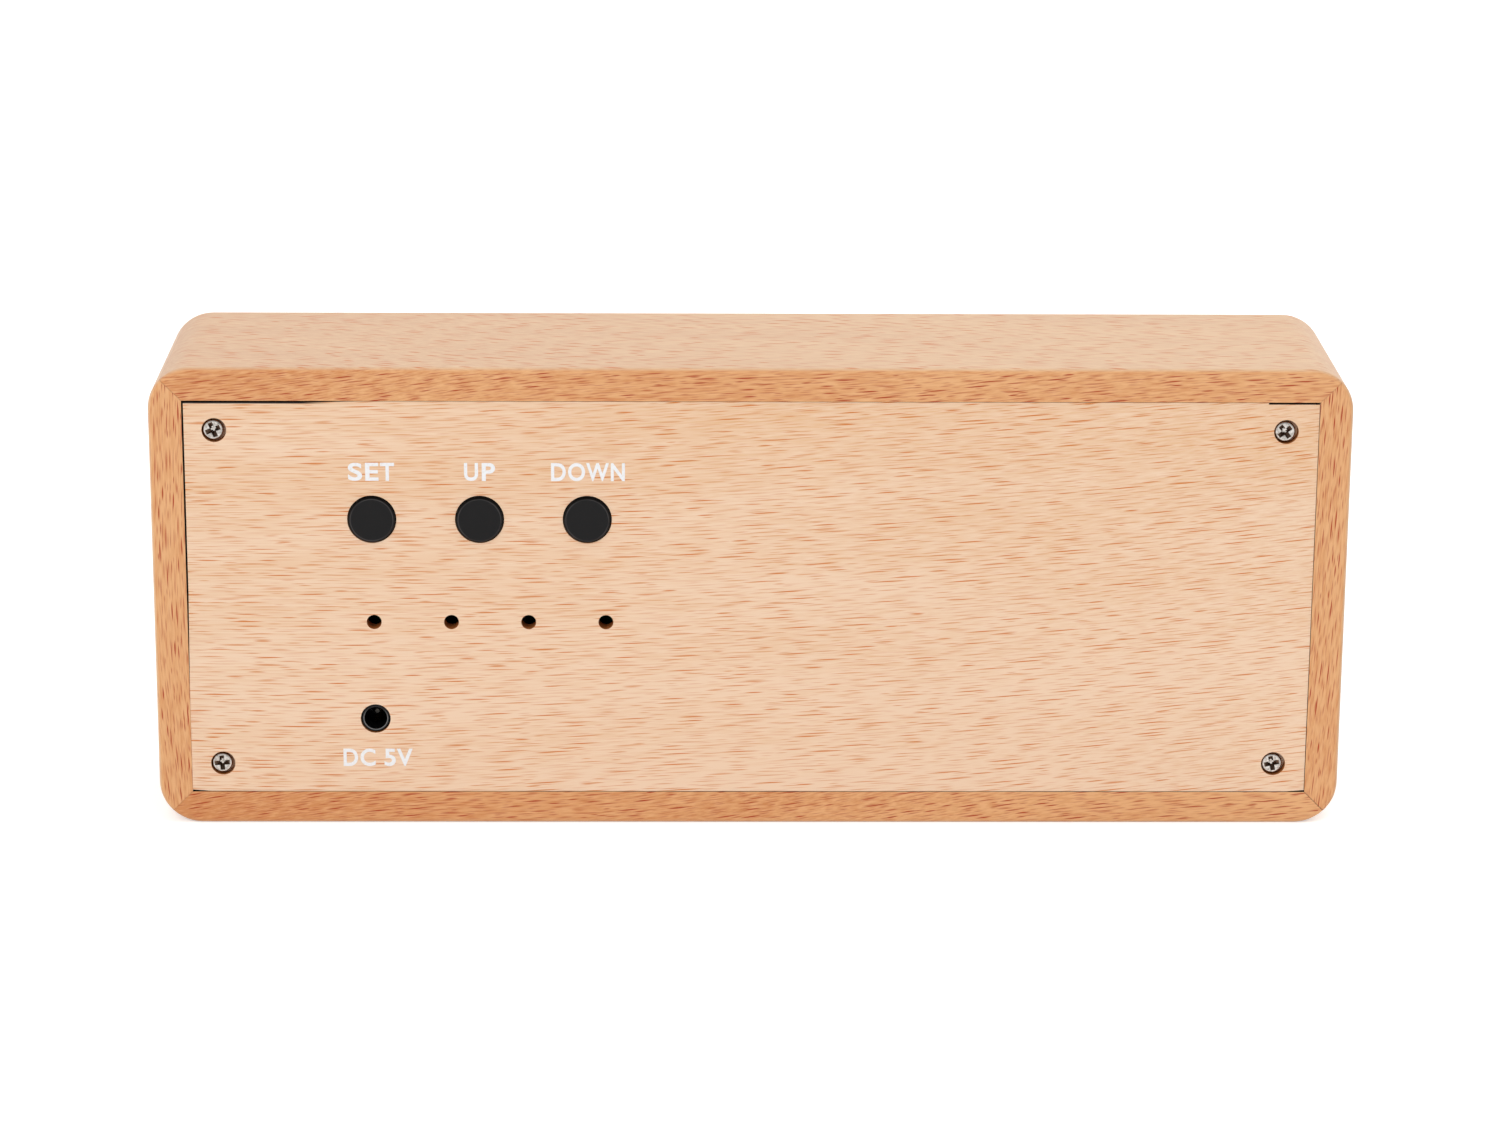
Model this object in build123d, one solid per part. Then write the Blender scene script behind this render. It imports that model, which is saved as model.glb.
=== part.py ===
from build123d import *
import os

# A wooden alarm clock: a mitred beech case, an inset back panel that carries the controls, and a
# digit display that shines through the veneer of the face.
# Lengths are in millimetres. The clock stands on Z = 0, its face looks along -Y, its controls along +Y.

# Case boards
case_width = 200.0
case_height = 79.5
case_depth = 41.0
wall_thickness = 5.6
corner_radius = 7.2
edge_radius = 0.8

# Glue blocks in the corners of the case
block_size = 10.0
block_chamfer = 3.0

# Back panel, and the uneven joint round it
panel_thickness = 3.0
panel_recess = 0.1
panel_gap_left = 0.1
panel_gap_right = 0.3
panel_gap_top = 0.08
panel_gap_bottom = 0.08
panel_snug_gap = 0.02
panel_snug_height = 17.0
panel_ease_height = 18.0
panel_low_length = 20.0
panel_low_depth = 0.24
panel_rise_length = 9.0
panel_notch_length = 8.5
panel_notch_depth = 0.28
panel_corner_length = 3.2
panel_corner_depth = 0.24

# Places of the controls, from the edges of the opening that the panel fills
buttons_from_right = 31.15
buttons_from_top = 20.35
button_pitch = 17.95
sound_holes_from_right = 31.25
sound_holes_from_top = 38.25
sound_hole_pitch = 12.95
sound_hole_diameter = 2.5
sound_hole_count = 4
jack_from_right = 31.2
jack_from_bottom = 13.0

# Panel screws, driven through counterbored holes that sit a little off the screws
panel_screw_from_side = 5.4
panel_screw_from_edge = 5.05
panel_screw_shift = 0.3
panel_screw_head_diameter = 3.5
panel_screw_head_height = 1.4
panel_screw_shank_diameter = 2.0
panel_screw_length = 9.0
panel_screw_setback = 0.25
panel_hole_drift = 0.2
panel_hole_clearance = 0.1

# Screws of the two circuit boards
board_screw_head_diameter = 3.4
board_screw_head_height = 1.2
board_screw_shank_diameter = 1.7
display_screw_length = 4.8
board_screw_bite = 2.0

# Cross recess, tip and pilot hole of every screw
recess_length_share = 0.55
recess_width_share = 0.17
recess_depth_share = 0.6
head_bevel_share = 0.5
screw_tip_share = 0.6
thread_clearance = 0.02
pilot_spare = 0.6

# Face: veneer, diffuser film and the board with the light wells
veneer_thickness = 0.6
film_thickness = 0.2
front_board_thickness = 5.0
face_gap = 0.05

# Digits
digit_width = 16.0
digit_height = 30.0
digit_pitch = 25.0
digit_pair_spread = 56.0
segment_width = 3.2
segment_gap = 1.2
colon_spacing = 11.0
led_length = 2.0
led_width = 1.25
led_height = 0.8
led_corner = 0.3

# Display board
board_thickness = 1.6
board_corner_radius = 2.0
board_hole_clearance = 0.15
display_board_width = 116.0
display_board_height = 42.0
display_screw_inset = 4.0

# Control board, hung on spacers behind the panel
spacer_length = 8.0
spacer_across_flats = 4.5
spacer_side_count = 6
spacer_bore_clearance = 0.1
control_margin_side = 12.0
control_margin_top = 9.5
control_margin_bottom = 7.0
control_screw_inset = 4.0

# Push buttons
button_diameter = 7.8
button_hole_clearance = 0.2
button_proud = 0.5
button_bevel = 0.28
button_flange_diameter = 9.6
button_flange_thickness = 0.9
button_wall = 0.9
button_crown = 1.6
button_boss_wall = 0.8
button_travel = 0.3
button_stop_gap = 0.4
button_grip_clearance = 0.02

# Switch under each button
switch_width = 6.0
switch_height = 3.1
switch_corner = 0.5
switch_cavity_diameter = 4.6
switch_cavity_depth = 1.3
switch_cover_thickness = 0.25
switch_clip_width = 2.2
switch_clip_length = 1.4
switch_play = 0.03
plunger_diameter = 3.4
plunger_clearance = 0.08
plunger_flange_diameter = 4.3
plunger_flange_thickness = 0.7
plunger_stem = 2.7
plunger_bevel = 0.2
dome_diameter = 4.2
dome_thickness = 0.1
dome_rim = 0.25
dome_top_diameter = 1.6
switch_leg_spacing = 4.5
switch_leg_rise = 0.9

# Bent metal leads of the switches and the chips
lead_thickness = 0.25
lead_width = 0.5
lead_reach = 0.8
lead_foot = 0.8

# Power socket
jack_width = 7.0
jack_corner = 1.2
jack_panel_gap = 0.2
jack_snout_diameter = 4.6
jack_hole_clearance = 0.22
jack_setback = 0.3
jack_mouth_diameter = 3.9
jack_mouth_length = 3.4
jack_chamber_diameter = 5.0
jack_floor = 1.5
jack_pin_diameter = 1.3
jack_pin_gap = 0.5
jack_pin_bevel = 0.3
jack_pin_shoulder_diameter = 2.0
jack_pin_tail_diameter = 0.9
jack_pin_tail_length = 1.0
jack_pin_clearance = 0.02
jack_slot_width = 2.0
jack_slot_length = 4.2
contact_thickness = 0.25
contact_width = 1.6
contact_press = 0.35
contact_from_wall = 0.2
contact_foot = 1.0

# Sounder
buzzer_diameter = 12.0
buzzer_panel_gap = 1.0
buzzer_wall = 0.8
buzzer_ledge = 0.8
buzzer_port_diameter = 2.4
buzzer_disc_thickness = 0.3
buzzer_disc_height = 3.4
buzzer_clearance = 0.05
buzzer_bevel = 0.6

# Chips
chip_bevel = 0.25
chip_standoff = 0.15
chip_lead_pitch = 1.27
chip_lead_rise = 1.0
controller_width = 7.5
controller_length = 12.8
controller_height = 2.2
controller_lead_count = 10
controller_from_right = 14.0
controller_from_bottom = 24.0
driver_width = 3.9
driver_length = 9.9
driver_height = 1.6
driver_lead_count = 8
driver_from_centre = 20.0

# Timing crystal
crystal_length = 10.8
crystal_width = 4.4
crystal_height = 3.4
crystal_flange = 0.4
crystal_flange_thickness = 0.5
crystal_bevel = 0.6
crystal_from_right = 14.0
crystal_from_bottom = 12.5

# Smoothing capacitor
capacitor_diameter = 6.3
capacitor_height = 7.7
capacitor_base = 6.6
capacitor_base_thickness = 1.2
capacitor_base_corner = 1.2
capacitor_groove = 0.35
capacitor_from_right = 24.5
capacitor_from_bottom = 10.5

# Coin cell, its holder and its clip
cell_diameter = 20.0
cell_thickness = 3.2
cell_step = 1.1
cell_step_height = 0.5
cell_clearance = 0.15
holder_wall = 1.6
holder_floor = 0.9
holder_notch = 8.0
clip_width = 5.0
clip_thickness = 0.3
clip_gap = 0.05
clip_foot = 1.5
cell_from_left = 18.5
cell_from_bottom = 17.5

# Ribbon cable, its plugs and headers
wire_count = 6
wire_side_count = 8
wire_diameter = 1.1
wire_pitch = 1.0
ribbon_bend_share = 0.5
header_pin_pitch = 2.0
header_pin_width = 0.5
header_wall = 0.9
header_floor = 1.0
header_height = 3.6
header_depth = 4.8
header_key = 5.0
plug_clearance = 0.1
plug_proud = 1.0
pin_clearance = 0.05
pin_spare = 0.8
control_header_from_right = 23.6
header_from_bottom = 26.0
display_header_from_centre = 16.0

# How far a cut runs past the face that it starts from
overrun = 1.0

# Main planes and places worked out from the sizes above
rear_face = case_depth / 2
front_face = -case_depth / 2
middle = case_height / 2
opening_width = case_width - 2 * wall_thickness
opening_height = case_height - 2 * wall_thickness
opening_right = opening_width / 2
opening_left = -opening_width / 2
opening_bottom = wall_thickness
opening_top = case_height - wall_thickness

panel_rear = rear_face - panel_recess
panel_inner = panel_rear - panel_thickness
board_rear = panel_inner - spacer_length
board_front = board_rear - board_thickness
veneer_back = front_face + veneer_thickness
film_back = veneer_back + film_thickness
front_board_back = film_back + front_board_thickness
display_rear = front_board_back + board_thickness

button_names = ["set", "up", "down"]
button_row = opening_top - buttons_from_top
first_button = opening_right - buttons_from_right
button_places = [first_button - index * button_pitch for index in range(len(button_names))]
sound_row = opening_top - sound_holes_from_top
first_sound_hole = opening_right - sound_holes_from_right
sound_places = [first_sound_hole - index * sound_hole_pitch for index in range(sound_hole_count)]
sound_centre = sum(sound_places) / sound_hole_count
jack_x = opening_right - jack_from_right
jack_z = opening_bottom + jack_from_bottom

screw_reach_x = opening_width / 2 - panel_screw_from_side
screw_reach_z = opening_height / 2 - panel_screw_from_edge
panel_screw_places = [
    (side * screw_reach_x + panel_screw_shift, middle + end * screw_reach_z)
    for side in (-1, 1)
    for end in (-1, 1)
]
panel_screw_seat = panel_rear - panel_screw_setback - panel_screw_head_height

control_left = button_places[-1] - control_margin_side
control_right = button_places[0] + control_margin_side
control_top = button_row + control_margin_top
control_bottom = jack_z - control_margin_bottom
control_screw_places = [
    (x, z)
    for x in (control_left + control_screw_inset, control_right - control_screw_inset)
    for z in (control_bottom + control_screw_inset, control_top - control_screw_inset)
]
display_reach_x = display_board_width / 2 - display_screw_inset
display_reach_z = display_board_height / 2 - display_screw_inset
display_screw_places = [
    (side * display_reach_x, middle + end * display_reach_z) for side in (-1, 1) for end in (-1, 1)
]

cover_top = switch_height + switch_cover_thickness
button_bottom = cover_top + button_travel + button_stop_gap
button_top = panel_rear - board_rear + button_proud
plunger_tip = cover_top + plunger_stem

control_header_x = control_right - control_header_from_right
display_header_x = display_header_from_centre
header_z = control_bottom + header_from_bottom
header_length = wire_count * header_pin_pitch + 2 * header_wall
plug_top = header_height + plug_proud


def prism(outline, y_from, y_to):
    """Extrudes an outline, drawn in X and Z, from one depth to another."""
    plane = Plane(origin=(0, y_to, 0), x_dir=(1, 0, 0), z_dir=(0, -1, 0))
    return extrude(plane * outline, amount=y_to - y_from)


def turned(*profile):
    """Turns a profile of radius and depth points about the Y axis."""
    return revolve(make_face(Polyline(*profile, close=True)), axis=Axis.Y)


def hole(diameter, x, z, y_from, y_to):
    """The round cut of a hole along Y."""
    return prism(Pos(x, z) * Circle(diameter / 2), y_from, y_to)


def at(x, y, z, shape):
    """Puts a piece made at the origin in its place."""
    return Pos(x, y, z) * shape


def on_control_rear(x, z, shape):
    """Stands a piece on the side of the control board that faces the panel."""
    return at(x, board_rear, z, shape)


def on_control_front(x, z, shape):
    """Stands a piece on the side of the control board that faces the display."""
    return at(x, board_front, z, Rot(0, 0, 180) * shape)


def on_display(x, z, shape):
    """Stands a piece on the back of the display board."""
    return at(x, display_rear, z, shape)


def spread(count, pitch):
    """Even places along a line, centred on zero."""
    first = -(count - 1) / 2
    return [(first + index) * pitch for index in range(count)]


def group(shapes):
    """Keeps separate solids together as one node."""
    return Compound(children=[solid for shape in shapes for solid in shape.solids()])


# Case


def make_case_boards():
    """Cuts one rounded ring along its four mitres."""
    outline = Pos(0, middle) * RectangleRounded(case_width, case_height, corner_radius)
    ring = prism(outline, front_face, rear_face)
    ends = ring.faces().sort_by(Axis.Y)
    ring = fillet(ends[0].edges() + ends[-1].edges(), edge_radius)
    opening = Pos(0, middle) * Rectangle(opening_width, opening_height)
    ring -= prism(opening, front_face - overrun, rear_face + overrun)
    side = case_width / 2
    ridge = side - middle
    mitres = {
        "case_top_board": [(-side, case_height), (-ridge, middle), (ridge, middle), (side, case_height)],
        "case_bottom_board": [(-side, 0), (-ridge, middle), (ridge, middle), (side, 0)],
        "case_left_board": [(-side, 0), (-ridge, middle), (-side, case_height)],
        "case_right_board": [(side, 0), (ridge, middle), (side, case_height)],
    }
    boards = {}
    for name, corners in mitres.items():
        wedge = make_face(Polyline(*corners, close=True))
        boards[name] = ring & prism(wedge, front_face, rear_face)
    return boards


def make_corner_block(side, end):
    """A glue block in one corner, its free edge bevelled, with the pilot hole of a panel screw."""
    corner_x = side * opening_width / 2
    corner_z = middle + end * opening_height / 2
    inner_x = corner_x - side * block_size
    inner_z = corner_z - end * block_size
    outline = make_face(
        Polyline(
            (corner_x, corner_z),
            (corner_x, inner_z),
            (inner_x + side * block_chamfer, inner_z),
            (inner_x, inner_z + end * block_chamfer),
            (inner_x, corner_z),
            close=True,
        )
    )
    block = prism(outline, front_board_back, panel_inner)
    pilot_end = panel_screw_seat - panel_screw_length - pilot_spare
    pilot_x = side * screw_reach_x + panel_screw_shift
    pilot_z = middle + end * screw_reach_z
    pilot_diameter = panel_screw_shank_diameter + 2 * thread_clearance
    return block - hole(pilot_diameter, pilot_x, pilot_z, pilot_end, panel_inner + overrun)


def make_screw(head_diameter, head_height, shank_diameter, length):
    """A pan-head cross-recess screw: head on +Y of its seat at the origin, shank on -Y."""
    head = head_diameter / 2
    shank = shank_diameter / 2
    tip = shank_diameter * screw_tip_share
    bevel = head_height * head_bevel_share
    body = turned(
        (0, -length),
        (shank, tip - length),
        (shank, 0),
        (head, 0),
        (head, head_height - bevel),
        (head - bevel, head_height),
        (0, head_height),
    )
    long_side = head_diameter * recess_length_share
    short_side = head_diameter * recess_width_share
    cross = Rectangle(long_side, short_side) + Rectangle(short_side, long_side)
    return body - prism(cross, head_height * (1 - recess_depth_share), head_height + overrun)


# Back panel


def make_rear_panel():
    """The inset panel: one side snug only lower down, its top edge low at both ends, its lower corners worn."""
    right = opening_right - panel_gap_right
    snug = opening_right - panel_snug_gap
    snug_top = opening_bottom + panel_snug_height
    left = opening_left + panel_gap_left
    bottom = opening_bottom + panel_gap_bottom
    top = opening_top - panel_gap_top
    low_end = right - panel_low_length
    outline = make_face(
        Polyline(
            (left, bottom + panel_corner_depth),
            (left + panel_corner_length, bottom),
            (snug - panel_corner_length, bottom),
            (snug, bottom + panel_corner_depth),
            (snug, snug_top),
            (right, snug_top + panel_ease_height),
            (right, top - panel_low_depth),
            (low_end, top - panel_low_depth),
            (low_end - panel_rise_length, top),
            (left + panel_notch_length, top),
            (left + panel_notch_length, top - panel_notch_depth),
            (left, top - panel_notch_depth),
            close=True,
        )
    )
    panel = prism(outline, panel_inner, panel_rear)
    inside = panel_inner - overrun
    outside = panel_rear + overrun
    for x in button_places:
        panel -= hole(button_diameter + 2 * button_hole_clearance, x, button_row, inside, outside)
    for x in sound_places:
        panel -= hole(sound_hole_diameter, x, sound_row, inside, outside)
    panel -= hole(jack_snout_diameter + 2 * jack_hole_clearance, jack_x, jack_z, inside, outside)
    room = 2 * (panel_hole_drift + panel_hole_clearance)
    for x, z in panel_screw_places:
        drifted = x - panel_hole_drift
        panel -= hole(panel_screw_shank_diameter + room, drifted, z, inside, outside)
        panel -= hole(panel_screw_head_diameter + room, drifted, z, panel_screw_seat, outside)
    for x, z in control_screw_places:
        pilot_diameter = board_screw_shank_diameter + 2 * thread_clearance
        panel -= hole(pilot_diameter, x, z, inside, panel_inner + board_screw_bite + thread_clearance)
    return panel


# Face and display


def digit_centres():
    """The middles of the four digits, left to right as the clock is read."""
    pairs = (-digit_pair_spread / 2, digit_pair_spread / 2)
    return [pair + step * digit_pitch / 2 for pair in pairs for step in (-1, 1)]


def segment_places(x):
    """Middle, length and turn of the seven segments of one digit."""
    across = digit_width - segment_width
    up = (digit_height - segment_width) / 2
    level = [(x, middle + row * up, across - segment_gap, 0) for row in (-1, 0, 1)]
    upright = [
        (x + side * across / 2, middle + end * up / 2, up - segment_gap, 90)
        for side in (-1, 1)
        for end in (-1, 1)
    ]
    return level + upright


def segment_outline(length):
    """A bar with a point at each end."""
    tip = length / 2
    half = segment_width / 2
    return make_face(
        Polyline(
            (-tip, 0),
            (half - tip, -half),
            (tip - half, -half),
            (tip, 0),
            (tip - half, half),
            (half - tip, half),
            close=True,
        )
    )


def colon_places():
    """The two dots between the hours and the minutes."""
    return [(0, middle + end * colon_spacing / 2) for end in (-1, 1)]


def make_front_board():
    """The board behind the veneer, with a light well for each segment and dot."""
    outline = Pos(0, middle) * Rectangle(opening_width - 2 * face_gap, opening_height - 2 * face_gap)
    places = [place for digit in digit_centres() for place in segment_places(digit)]
    wells = [Pos(x, z) * Rot(0, 0, turn) * segment_outline(length) for x, z, length, turn in places]
    wells += [Pos(x, z) * Rectangle(segment_width, segment_width) for x, z in colon_places()]
    board = prism(outline - wells, film_back, front_board_back)
    pilot_diameter = board_screw_shank_diameter + 2 * thread_clearance
    pilot_end = display_rear - display_screw_length - thread_clearance
    for x, z in display_screw_places:
        board -= hole(pilot_diameter, x, z, pilot_end, front_board_back + overrun)
    return board


def make_face_sheet(y_from, y_to):
    """A sheet that fills the opening at the face."""
    outline = Rectangle(opening_width - 2 * face_gap, opening_height - 2 * face_gap)
    return prism(Pos(0, middle) * outline, y_from, y_to)


def make_display_board():
    """The circuit board behind the light wells."""
    outline = RectangleRounded(display_board_width, display_board_height, board_corner_radius)
    outline = Pos(0, middle) * outline
    for x, z in display_screw_places:
        outline -= Pos(x, z) * Circle(board_screw_shank_diameter / 2 + board_hole_clearance)
    return prism(outline, front_board_back, display_rear)


def make_segment_leds():
    """One light in the middle of each well, standing on the display board."""
    body = Rectangle(led_length, led_width)
    body = chamfer(body.vertices().group_by(Axis.X)[0].sort_by(Axis.Y)[0], led_corner)
    led = prism(body, -led_height, 0)
    places = [place for digit in digit_centres() for place in segment_places(digit)]
    lights = [at(x, front_board_back, z, Rot(0, turn, 0) * led) for x, z, length, turn in places]
    return group(lights + [at(x, front_board_back, z, led) for x, z in colon_places()])


# Control board and what stands on it


def make_control_board():
    """The circuit board behind the panel, with its screw holes and the hole of the socket's pin."""
    width = control_right - control_left
    height = control_top - control_bottom
    centre = Pos((control_left + control_right) / 2, (control_top + control_bottom) / 2)
    outline = centre * RectangleRounded(width, height, board_corner_radius)
    for x, z in control_screw_places:
        outline -= Pos(x, z) * Circle(board_screw_shank_diameter / 2 + board_hole_clearance)
    outline -= Pos(jack_x, jack_z) * Circle(jack_pin_tail_diameter / 2 + board_hole_clearance)
    return prism(outline, board_front, board_rear)


def make_spacer():
    """A six-sided tube that holds the control board off the panel."""
    bore = board_screw_shank_diameter / 2 + spacer_bore_clearance
    outline = RegularPolygon(spacer_across_flats / 2, side_count=spacer_side_count, major_radius=False)
    return prism(outline - Circle(bore), 0, spacer_length)


def make_lead(rise, width):
    """A bent lead that leaves its housing at the origin, steps down to the board and turns out."""
    out = lead_reach
    inner = lead_reach - lead_thickness
    toe = lead_reach + lead_foot
    profile = Polyline(
        (0, rise),
        (out, rise),
        (out, lead_thickness),
        (toe, lead_thickness),
        (toe, 0),
        (inner, 0),
        (inner, rise - lead_thickness),
        (0, rise - lead_thickness),
        close=True,
    )
    return extrude(make_face(profile), amount=width / 2, both=True)


def make_button():
    """A moulded cap: bevelled crown, a skirt with a stop flange, and a boss that grips the plunger."""
    socket = plunger_diameter / 2 + button_grip_clearance
    boss = socket + button_boss_wall
    cap = button_diameter / 2
    skirt = cap - button_wall
    flange = button_flange_diameter / 2
    step = button_bottom + button_flange_thickness
    ceiling = button_top - button_crown
    grip_end = plunger_tip + button_grip_clearance
    return turned(
        (socket, button_bottom),
        (boss, button_bottom),
        (boss, ceiling),
        (skirt, ceiling),
        (skirt, button_bottom),
        (flange, button_bottom),
        (flange, step),
        (cap, step),
        (cap, button_top - button_bevel),
        (cap - button_bevel, button_top),
        (0, button_top),
        (0, grip_end),
        (socket, grip_end),
    )


def make_switch_base():
    """The switch housing: a chamfered square block with the round cavity of the dome."""
    outline = chamfer(Rectangle(switch_width, switch_width).vertices(), switch_corner)
    cavity = Circle(switch_cavity_diameter / 2)
    floor = switch_height - switch_cavity_depth
    return prism(outline, 0, switch_height) - prism(cavity, floor, switch_height + overrun)


def make_switch_cover():
    """The sheet-metal cover, held by a folded clip on each side."""
    plate = chamfer(Rectangle(switch_width, switch_width).vertices(), switch_corner)
    plate -= Circle(plunger_diameter / 2 + plunger_clearance)
    cover = prism(plate, switch_height, cover_top)
    clip_place = (switch_width + switch_cover_thickness) / 2
    for side in (-1, 1):
        clip = Pos(0, side * clip_place) * Rectangle(switch_clip_width, switch_cover_thickness)
        cover += prism(clip, cover_top - switch_clip_length, cover_top)
    return cover


def make_switch_plunger():
    """The plunger: a flange kept under the cover, and the stem that carries the button."""
    flange_top = switch_height - switch_play
    flange_bottom = flange_top - plunger_flange_thickness
    flange = plunger_flange_diameter / 2
    stem = plunger_diameter / 2
    return turned(
        (0, flange_bottom),
        (flange, flange_bottom),
        (flange, flange_top),
        (stem, flange_top),
        (stem, plunger_tip - plunger_bevel),
        (stem - plunger_bevel, plunger_tip),
        (0, plunger_tip),
    )


def make_switch_dome():
    """The snap dome: a thin metal dish on a flat rim, raised in two slopes up to the plunger."""
    floor = switch_height - switch_cavity_depth
    crown = switch_height - 2 * switch_play - plunger_flange_thickness
    rim = dome_diameter / 2
    foot = rim - dome_rim
    top = dome_top_diameter / 2
    return turned(
        (0, crown - dome_thickness),
        (top, crown - dome_thickness),
        (foot, floor),
        (rim, floor),
        (rim, floor + dome_thickness),
        (foot, floor + dome_thickness),
        (top, crown),
        (0, crown),
    )


def make_switch_legs():
    """Four bent leads of one switch, two on each side."""
    lead = make_lead(switch_leg_rise, lead_width)
    side = switch_width / 2
    row = switch_leg_spacing / 2
    right = [at(side, 0, end * row, lead) for end in (-1, 1)]
    left = [at(-side, 0, end * row, Rot(0, 180, 0) * lead) for end in (-1, 1)]
    return right + left


# Power socket


def make_jack_housing():
    """The socket housing: a square block whose round snout reaches into the panel."""
    block_top = spacer_length - jack_panel_gap
    snout_top = spacer_length + panel_thickness - jack_setback
    mouth_end = snout_top - jack_mouth_length
    body = prism(chamfer(Rectangle(jack_width, jack_width).vertices(), jack_corner), 0, block_top)
    body += prism(Circle(jack_snout_diameter / 2), block_top, snout_top)
    body -= prism(Circle(jack_mouth_diameter / 2), mouth_end, snout_top + overrun)
    body -= prism(Circle(jack_chamber_diameter / 2), jack_floor, mouth_end)
    shoulder = Circle(jack_pin_shoulder_diameter / 2 + jack_pin_clearance)
    body -= prism(shoulder, -overrun, jack_floor + overrun)
    slot = Pos(0, -jack_width / 2) * Rectangle(jack_slot_width, jack_width)
    return body - prism(slot, -overrun, jack_slot_length)


def make_jack_pin():
    """The centre pin: a shoulder held in the floor of the housing and a tail through the board."""
    tail = jack_pin_tail_diameter / 2
    tail_end = -board_thickness - jack_pin_tail_length
    shoulder = jack_pin_shoulder_diameter / 2
    pin = jack_pin_diameter / 2
    tip = spacer_length + panel_thickness - jack_setback - jack_mouth_length - jack_pin_gap
    return turned(
        (0, tail_end),
        (tail, tail_end),
        (tail, 0),
        (shoulder, 0),
        (shoulder, jack_floor),
        (pin, jack_floor),
        (pin, tip - jack_pin_bevel),
        (pin - jack_pin_bevel, tip),
        (0, tip),
    )


def make_jack_contact():
    """The spring leaf in the housing's slot: a foot on the board and a bow towards the plug."""
    upright = -jack_width / 2 + contact_from_wall
    toe = upright - contact_foot
    bow = -jack_mouth_diameter / 2 + contact_press
    top = jack_slot_length - contact_thickness
    bend = top / 2
    leaf = Polyline(
        (0, toe),
        (0, upright + contact_thickness),
        (bend, bow),
        (top, upright + contact_thickness),
        (top, upright),
        (bend, bow - contact_thickness),
        (contact_thickness, upright),
        (contact_thickness, toe),
        close=True,
    )
    return extrude(Plane.YZ * make_face(leaf), amount=contact_width / 2, both=True)


# Sounder


def make_buzzer_case():
    """A round can with a sound port, and a ledge inside that the disc rests against."""
    outer = buzzer_diameter / 2
    inner = outer - buzzer_wall
    ledge = inner - buzzer_ledge
    port = buzzer_port_diameter / 2
    top = spacer_length - buzzer_panel_gap
    seat = buzzer_disc_height + buzzer_disc_thickness
    return turned(
        (inner, 0),
        (outer, 0),
        (outer, top - buzzer_bevel),
        (outer - buzzer_bevel, top),
        (port, top),
        (port, top - buzzer_wall),
        (ledge, top - buzzer_wall),
        (ledge, seat),
        (inner, seat),
    )


def make_buzzer_disc():
    """The sounding disc, held against the ledge."""
    radius = buzzer_diameter / 2 - buzzer_wall - buzzer_clearance
    return prism(Circle(radius), buzzer_disc_height, buzzer_disc_height + buzzer_disc_thickness)


# Chips and other parts on the boards


def make_chip(width, length, height, lead_count):
    """A moulded chip with a row of bent leads along each long side."""
    body = prism(Rectangle(width, length), chip_standoff, chip_standoff + height)
    body = chamfer(body.faces().sort_by(Axis.Y)[-1].edges(), chip_bevel)
    lead = make_lead(chip_lead_rise, lead_width)
    rows = spread(lead_count, chip_lead_pitch)
    right = [at(width / 2, 0, row, lead) for row in rows]
    left = [at(-width / 2, 0, row, Rot(0, 180, 0) * lead) for row in rows]
    return [body] + right + left


def make_crystal():
    """A round-ended metal can on a flange."""
    can = prism(SlotOverall(crystal_length, crystal_width), 0, crystal_height)
    can = chamfer(can.faces().sort_by(Axis.Y)[-1].edges(), crystal_bevel)
    flange = SlotOverall(crystal_length + 2 * crystal_flange, crystal_width + 2 * crystal_flange)
    return can + prism(flange, 0, crystal_flange_thickness)


def make_capacitor():
    """A grooved can on a base with two cut corners."""
    corners = Rectangle(capacitor_base, capacitor_base).vertices().group_by(Axis.X)[0]
    base = chamfer(corners, capacitor_base_corner)
    radius = capacitor_diameter / 2
    waist = radius - capacitor_groove
    can = turned(
        (0, capacitor_base_thickness),
        (radius, capacitor_base_thickness),
        (radius, capacitor_base_thickness + capacitor_groove),
        (waist, capacitor_base_thickness + 2 * capacitor_groove),
        (radius, capacitor_base_thickness + 3 * capacitor_groove),
        (radius, capacitor_height - capacitor_groove),
        (radius - capacitor_groove, capacitor_height),
        (0, capacitor_height),
    )
    return prism(base, 0, capacitor_base_thickness) + can


def make_cell():
    """A coin cell: a wide can with a narrower cap towards the board."""
    radius = cell_diameter / 2
    cap = radius - cell_step
    foot = holder_floor
    top = holder_floor + cell_thickness
    return turned(
        (0, foot),
        (cap, foot),
        (radius, foot + cell_step_height),
        (radius, top),
        (0, top),
    )


def make_cell_holder():
    """A round tray with a finger notch on each side."""
    inner = cell_diameter / 2 + cell_clearance
    outer = inner + holder_wall
    top = holder_floor + cell_thickness
    tray = prism(Circle(outer), 0, top) - prism(Circle(inner), holder_floor, top + overrun)
    return tray - prism(Rectangle(holder_notch, 2 * outer + overrun), holder_floor, top + overrun)


def make_cell_clip():
    """A strap over the cell, folded down beside the holder to two feet on the board."""
    top = holder_floor + cell_thickness
    side = cell_diameter / 2 + cell_clearance + holder_wall + clip_gap
    fold = side + clip_thickness
    toe = fold + clip_foot
    profile = Polyline(
        (0, top),
        (side, top),
        (side, 0),
        (toe, 0),
        (toe, clip_thickness),
        (fold, clip_thickness),
        (fold, top + clip_thickness),
        (0, top + clip_thickness),
        close=True,
    )
    half = extrude(make_face(profile), amount=clip_width / 2, both=True)
    return half + Rot(0, 180, 0) * half


# Ribbon cable and its connectors


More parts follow.
